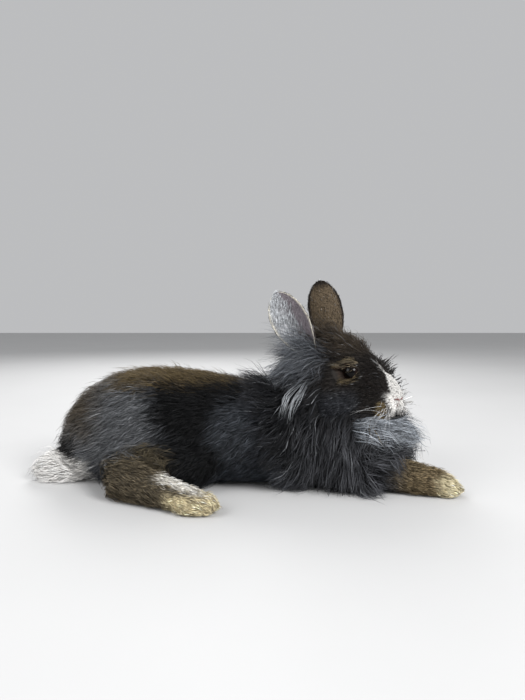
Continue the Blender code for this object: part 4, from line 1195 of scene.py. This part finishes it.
def ear_comb(along, across, opens):
    """A comb towards the tip outside, and inward from the leading edge within the cup."""

    def comb(plan, out):
        way = along + across * 0.7 * ramp(out @ opens, 0.0, 0.4)[:, None]
        return unit(way - out * np.einsum("ij,ij->i", way, out)[:, None])

    return comb


for leading, side in SIDES:
    base, along, across, opens = ear_axes(side)
    grid, share, over, inside = ear_grid(side)
    shell = joined(f"ear_shell_{side}", [grid])
    if facing_out(grid) is not grid:
        shell.data.flip_normals()
    paint(shell.data, ear_colours(share, over, inside, leading))
    rows, columns = grid.shape[:2]
    spread = np.column_stack([np.tile(np.arange(columns) / columns, rows), share]) * [0.9, 0.95] + 0.02
    index = np.empty(len(shell.data.loops), np.int32)
    shell.data.loops.foreach_get("vertex_index", index)
    unwrap = shell.data.uv_layers.new(name="OFBake")
    unwrap.data.foreach_set("uv", spread[index].astype(np.float32).ravel())
    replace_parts(dressed(shell, hide), f"ear_{side}")

    roots = scattered(shell, 3000, np.random.default_rng(40 + leading))
    plan = to_plan(roots[0])
    share = np.clip((plan - base) @ along / (along @ along), 0, 1)
    over = np.clip((plan - base) @ across / np.interp(share, EAR_SHARES, EAR_HALVES) * 1.15, -1, 1)
    inside = roots[1] @ opens > 0.1
    shade = ear_colours(share, over, inside, leading)
    tips = np.where((inside & (over * leading < 0.3))[:, None], linear("ccd0d4"), shade * 1.5)
    thick = np.where(over * leading < 0.1, 0.9, 0.12)
    keep = ~inside | (np.random.default_rng(7).random(len(plan)) < thick)
    roots = tuple(part[keep] for part in roots)
    length = (np.where(inside, 11.0, 4.5) * (1 - 0.4 * share))[keep]
    lift = np.where(inside, 1.1, 0.7)[keep]
    comb = ear_comb(unit(along), across * leading, opens)
    colours = shade[keep] * 0.8, tips[keep]
    tufts(f"ear_fur_{side}", shell, roots, comb, "ear", length, lift, colours, 50 + leading, "ear_skin", 9.0)

# Nose
# The bare rims of the two nostrils and the cleft below them, which join in a Y between the white pads.
# They are soft folds of the skin itself.

# Nose skin: bare, moist and finely pored, so it is dusky pink with a soft gloss and a grain of 0.5 mm.
nose_skin, tree = new_material("bare nose skin")
place = add_node(tree, "ShaderNodeTexCoord")
pores = add_node(tree, "ShaderNodeTexNoise", [(place.outputs["Object"], "Vector")], Scale=1800.0, Detail=2.0)
tint = add_node(tree, "ShaderNodeMix", [(pores.outputs[0], "Factor")], data_type="RGBA")
tint.inputs[6].default_value = (*linear("4a2a28"), 1)
tint.inputs[7].default_value = (*linear("8d5f5a"), 1)
bump = add_node(tree, "ShaderNodeBump", [(pores.outputs[0], "Height")], Strength=0.4, Distance=0.0002)
surface = add_node(
    tree,
    "ShaderNodeBsdfPrincipled",
    [(tint.outputs[2], "Base Color"), (bump.outputs[0], "Normal")],
    Roughness=0.4,
    Subsurface_Weight=0.15,
    Subsurface_Scale=0.001,
)
add_node(tree, "ShaderNodeOutputMaterial", [(surface.outputs[0], "Surface")])
NOSE_CLEFT = [(40, 0, 71), (38, 0, 67), (35, 0, 63)]


def fold_grid(line, radius, proud):
    """A round fold: rings about a line on the skin, whose radius swells as the root of the share's sine."""
    spots = np.array([head_plan(*spot) for spot in line])
    share = np.linspace(0, 1, 16)
    steps = np.arange(len(spots))
    path = np.column_stack([np.interp(share * steps[-1], steps, spots[:, i]) for i in range(3)])
    near, out = nearest(skin, to_metres(path))
    path = to_plan(near) + out * proud
    ring = round_ring(out, cross_unit(unit(np.gradient(path, axis=0)), out), 10)
    swell = radius * np.sqrt(np.sin(np.pi * (0.04 + 0.92 * share)))
    return facing_out(path[:, None] + ring * swell[:, None, None])


folds = [fold_grid([(a, r * side, z) for a, r, z in NOSTRIL], 0.7, 0.9) for side, _ in SIDES]
dressed(joined("nose", [*folds, fold_grid(NOSE_CLEFT, 0.4, 0.6)]), nose_skin)

# Whiskers
# Long stiff tapered hairs, 16 on each side, rooted in the pads beside the nose.
# They spread out, droop a little and sweep back.

# Whisker hair: thick solid keratin, smooth, so it is pale and glossier than the coat.
whisker_hair, tree = new_material("whisker hair")
where = add_node(tree, "ShaderNodeTexCoord")
fine = add_node(tree, "ShaderNodeTexNoise", [(where.outputs["Object"], "Vector")], Scale=900.0)
pale = add_node(tree, "ShaderNodeMapRange", [(fine.outputs[0], "Value")], To_Min=0.45, To_Max=0.75)
surface = add_node(tree, "ShaderNodeBsdfPrincipled", [(pale.outputs[0], "Base Color")], Roughness=0.35)
add_node(tree, "ShaderNodeOutputMaterial", [(surface.outputs[0], "Surface")])
WHISKERS = 16


def whisker_grids(side):
    """Tubes of five sides along arcs: root plus the way times the share, less a droop of its square."""
    dice = np.random.default_rng(60 + side)
    from_nose, from_side, from_floor = (dice.random(WHISKERS) for _ in range(3))
    roots = head_plan(24 + 8 * from_nose, side * (10.0 + 2.5 * from_side), 60 + 11 * from_floor)
    ways = HEAD_RIGHT * side * dice.uniform(0.5, 1.1, (WHISKERS, 1))
    ways = ways + HEAD_FORWARD * dice.uniform(-0.2, 0.9, (WHISKERS, 1))
    ways = unit(ways + UPWARD * dice.uniform(-0.5, 0.4, (WHISKERS, 1)))
    lengths = dice.uniform(16, 34, (WHISKERS, 1, 1))
    share = np.linspace(0, 1, 12)[None, :, None]
    droop = UPWARD * 0.3 + HEAD_FORWARD * 0.25
    lines = roots[:, None] + lengths * (ways[:, None] * share - droop * share**2)
    first = cross_unit(ways, np.tile(UPWARD, (WHISKERS, 1)))
    ring = round_ring(first, cross_unit(ways, first), 5)
    return lines[:, :, None] + ring[:, None] * (0.12 * (1 - 0.85 * share))[..., None]


for side, name in SIDES:
    whiskers = joined(f"whiskers_{name}", [facing_out(grid) for grid in whisker_grids(side)])
    dressed(whiskers, whisker_hair)

# Claws
# Short curved horn points at the ends of the toes, mostly hidden by the toes' fur.
# Each grows from the end of its toe.

# Claw horn: layered keratin, worn smooth, so it has long brown clouds and a dull gloss.
horn, tree = new_material("claw horn")
where = add_node(tree, "ShaderNodeTexCoord")
growth = add_node(tree, "ShaderNodeTexNoise", [(where.outputs["Object"], "Vector")], Scale=700.0, Detail=3.0)
tint = add_node(tree, "ShaderNodeMix", [(growth.outputs[0], "Factor")], data_type="RGBA")
tint.inputs[6].default_value = (*linear("3a2c20"), 1)
tint.inputs[7].default_value = (*linear("86715a"), 1)
surface = add_node(tree, "ShaderNodeBsdfPrincipled", [(tint.outputs[2], "Base Color")], Roughness=0.35)
add_node(tree, "ShaderNodeOutputMaterial", [(surface.outputs[0], "Surface")])


def claw_grid(root, ahead):
    """Rings that shrink to a point along an arc: ahead by the share and down by its square."""
    share = np.linspace(0, 1, 8)[:, None]
    line = root + ahead * 6.0 * share - UPWARD * 2.2 * share**2
    radius = 1.1 * (1 - share) ** 0.7 + 0.08
    ring = round_ring(np.cross(ahead, UPWARD), UPWARD * 1.15, 8)
    return facing_out(line[:, None] + ring * radius[:, None])


for _, side in SIDES:
    for kind, radii in TOE_RADII.items():
        middles, ahead = toe_places(kind, side)
        grids = [claw_grid(spot + ahead * (radii[0] - 5.6), ahead) for spot in middles]
        dressed(joined(f"claws_{kind}_{side}", grids), horn)
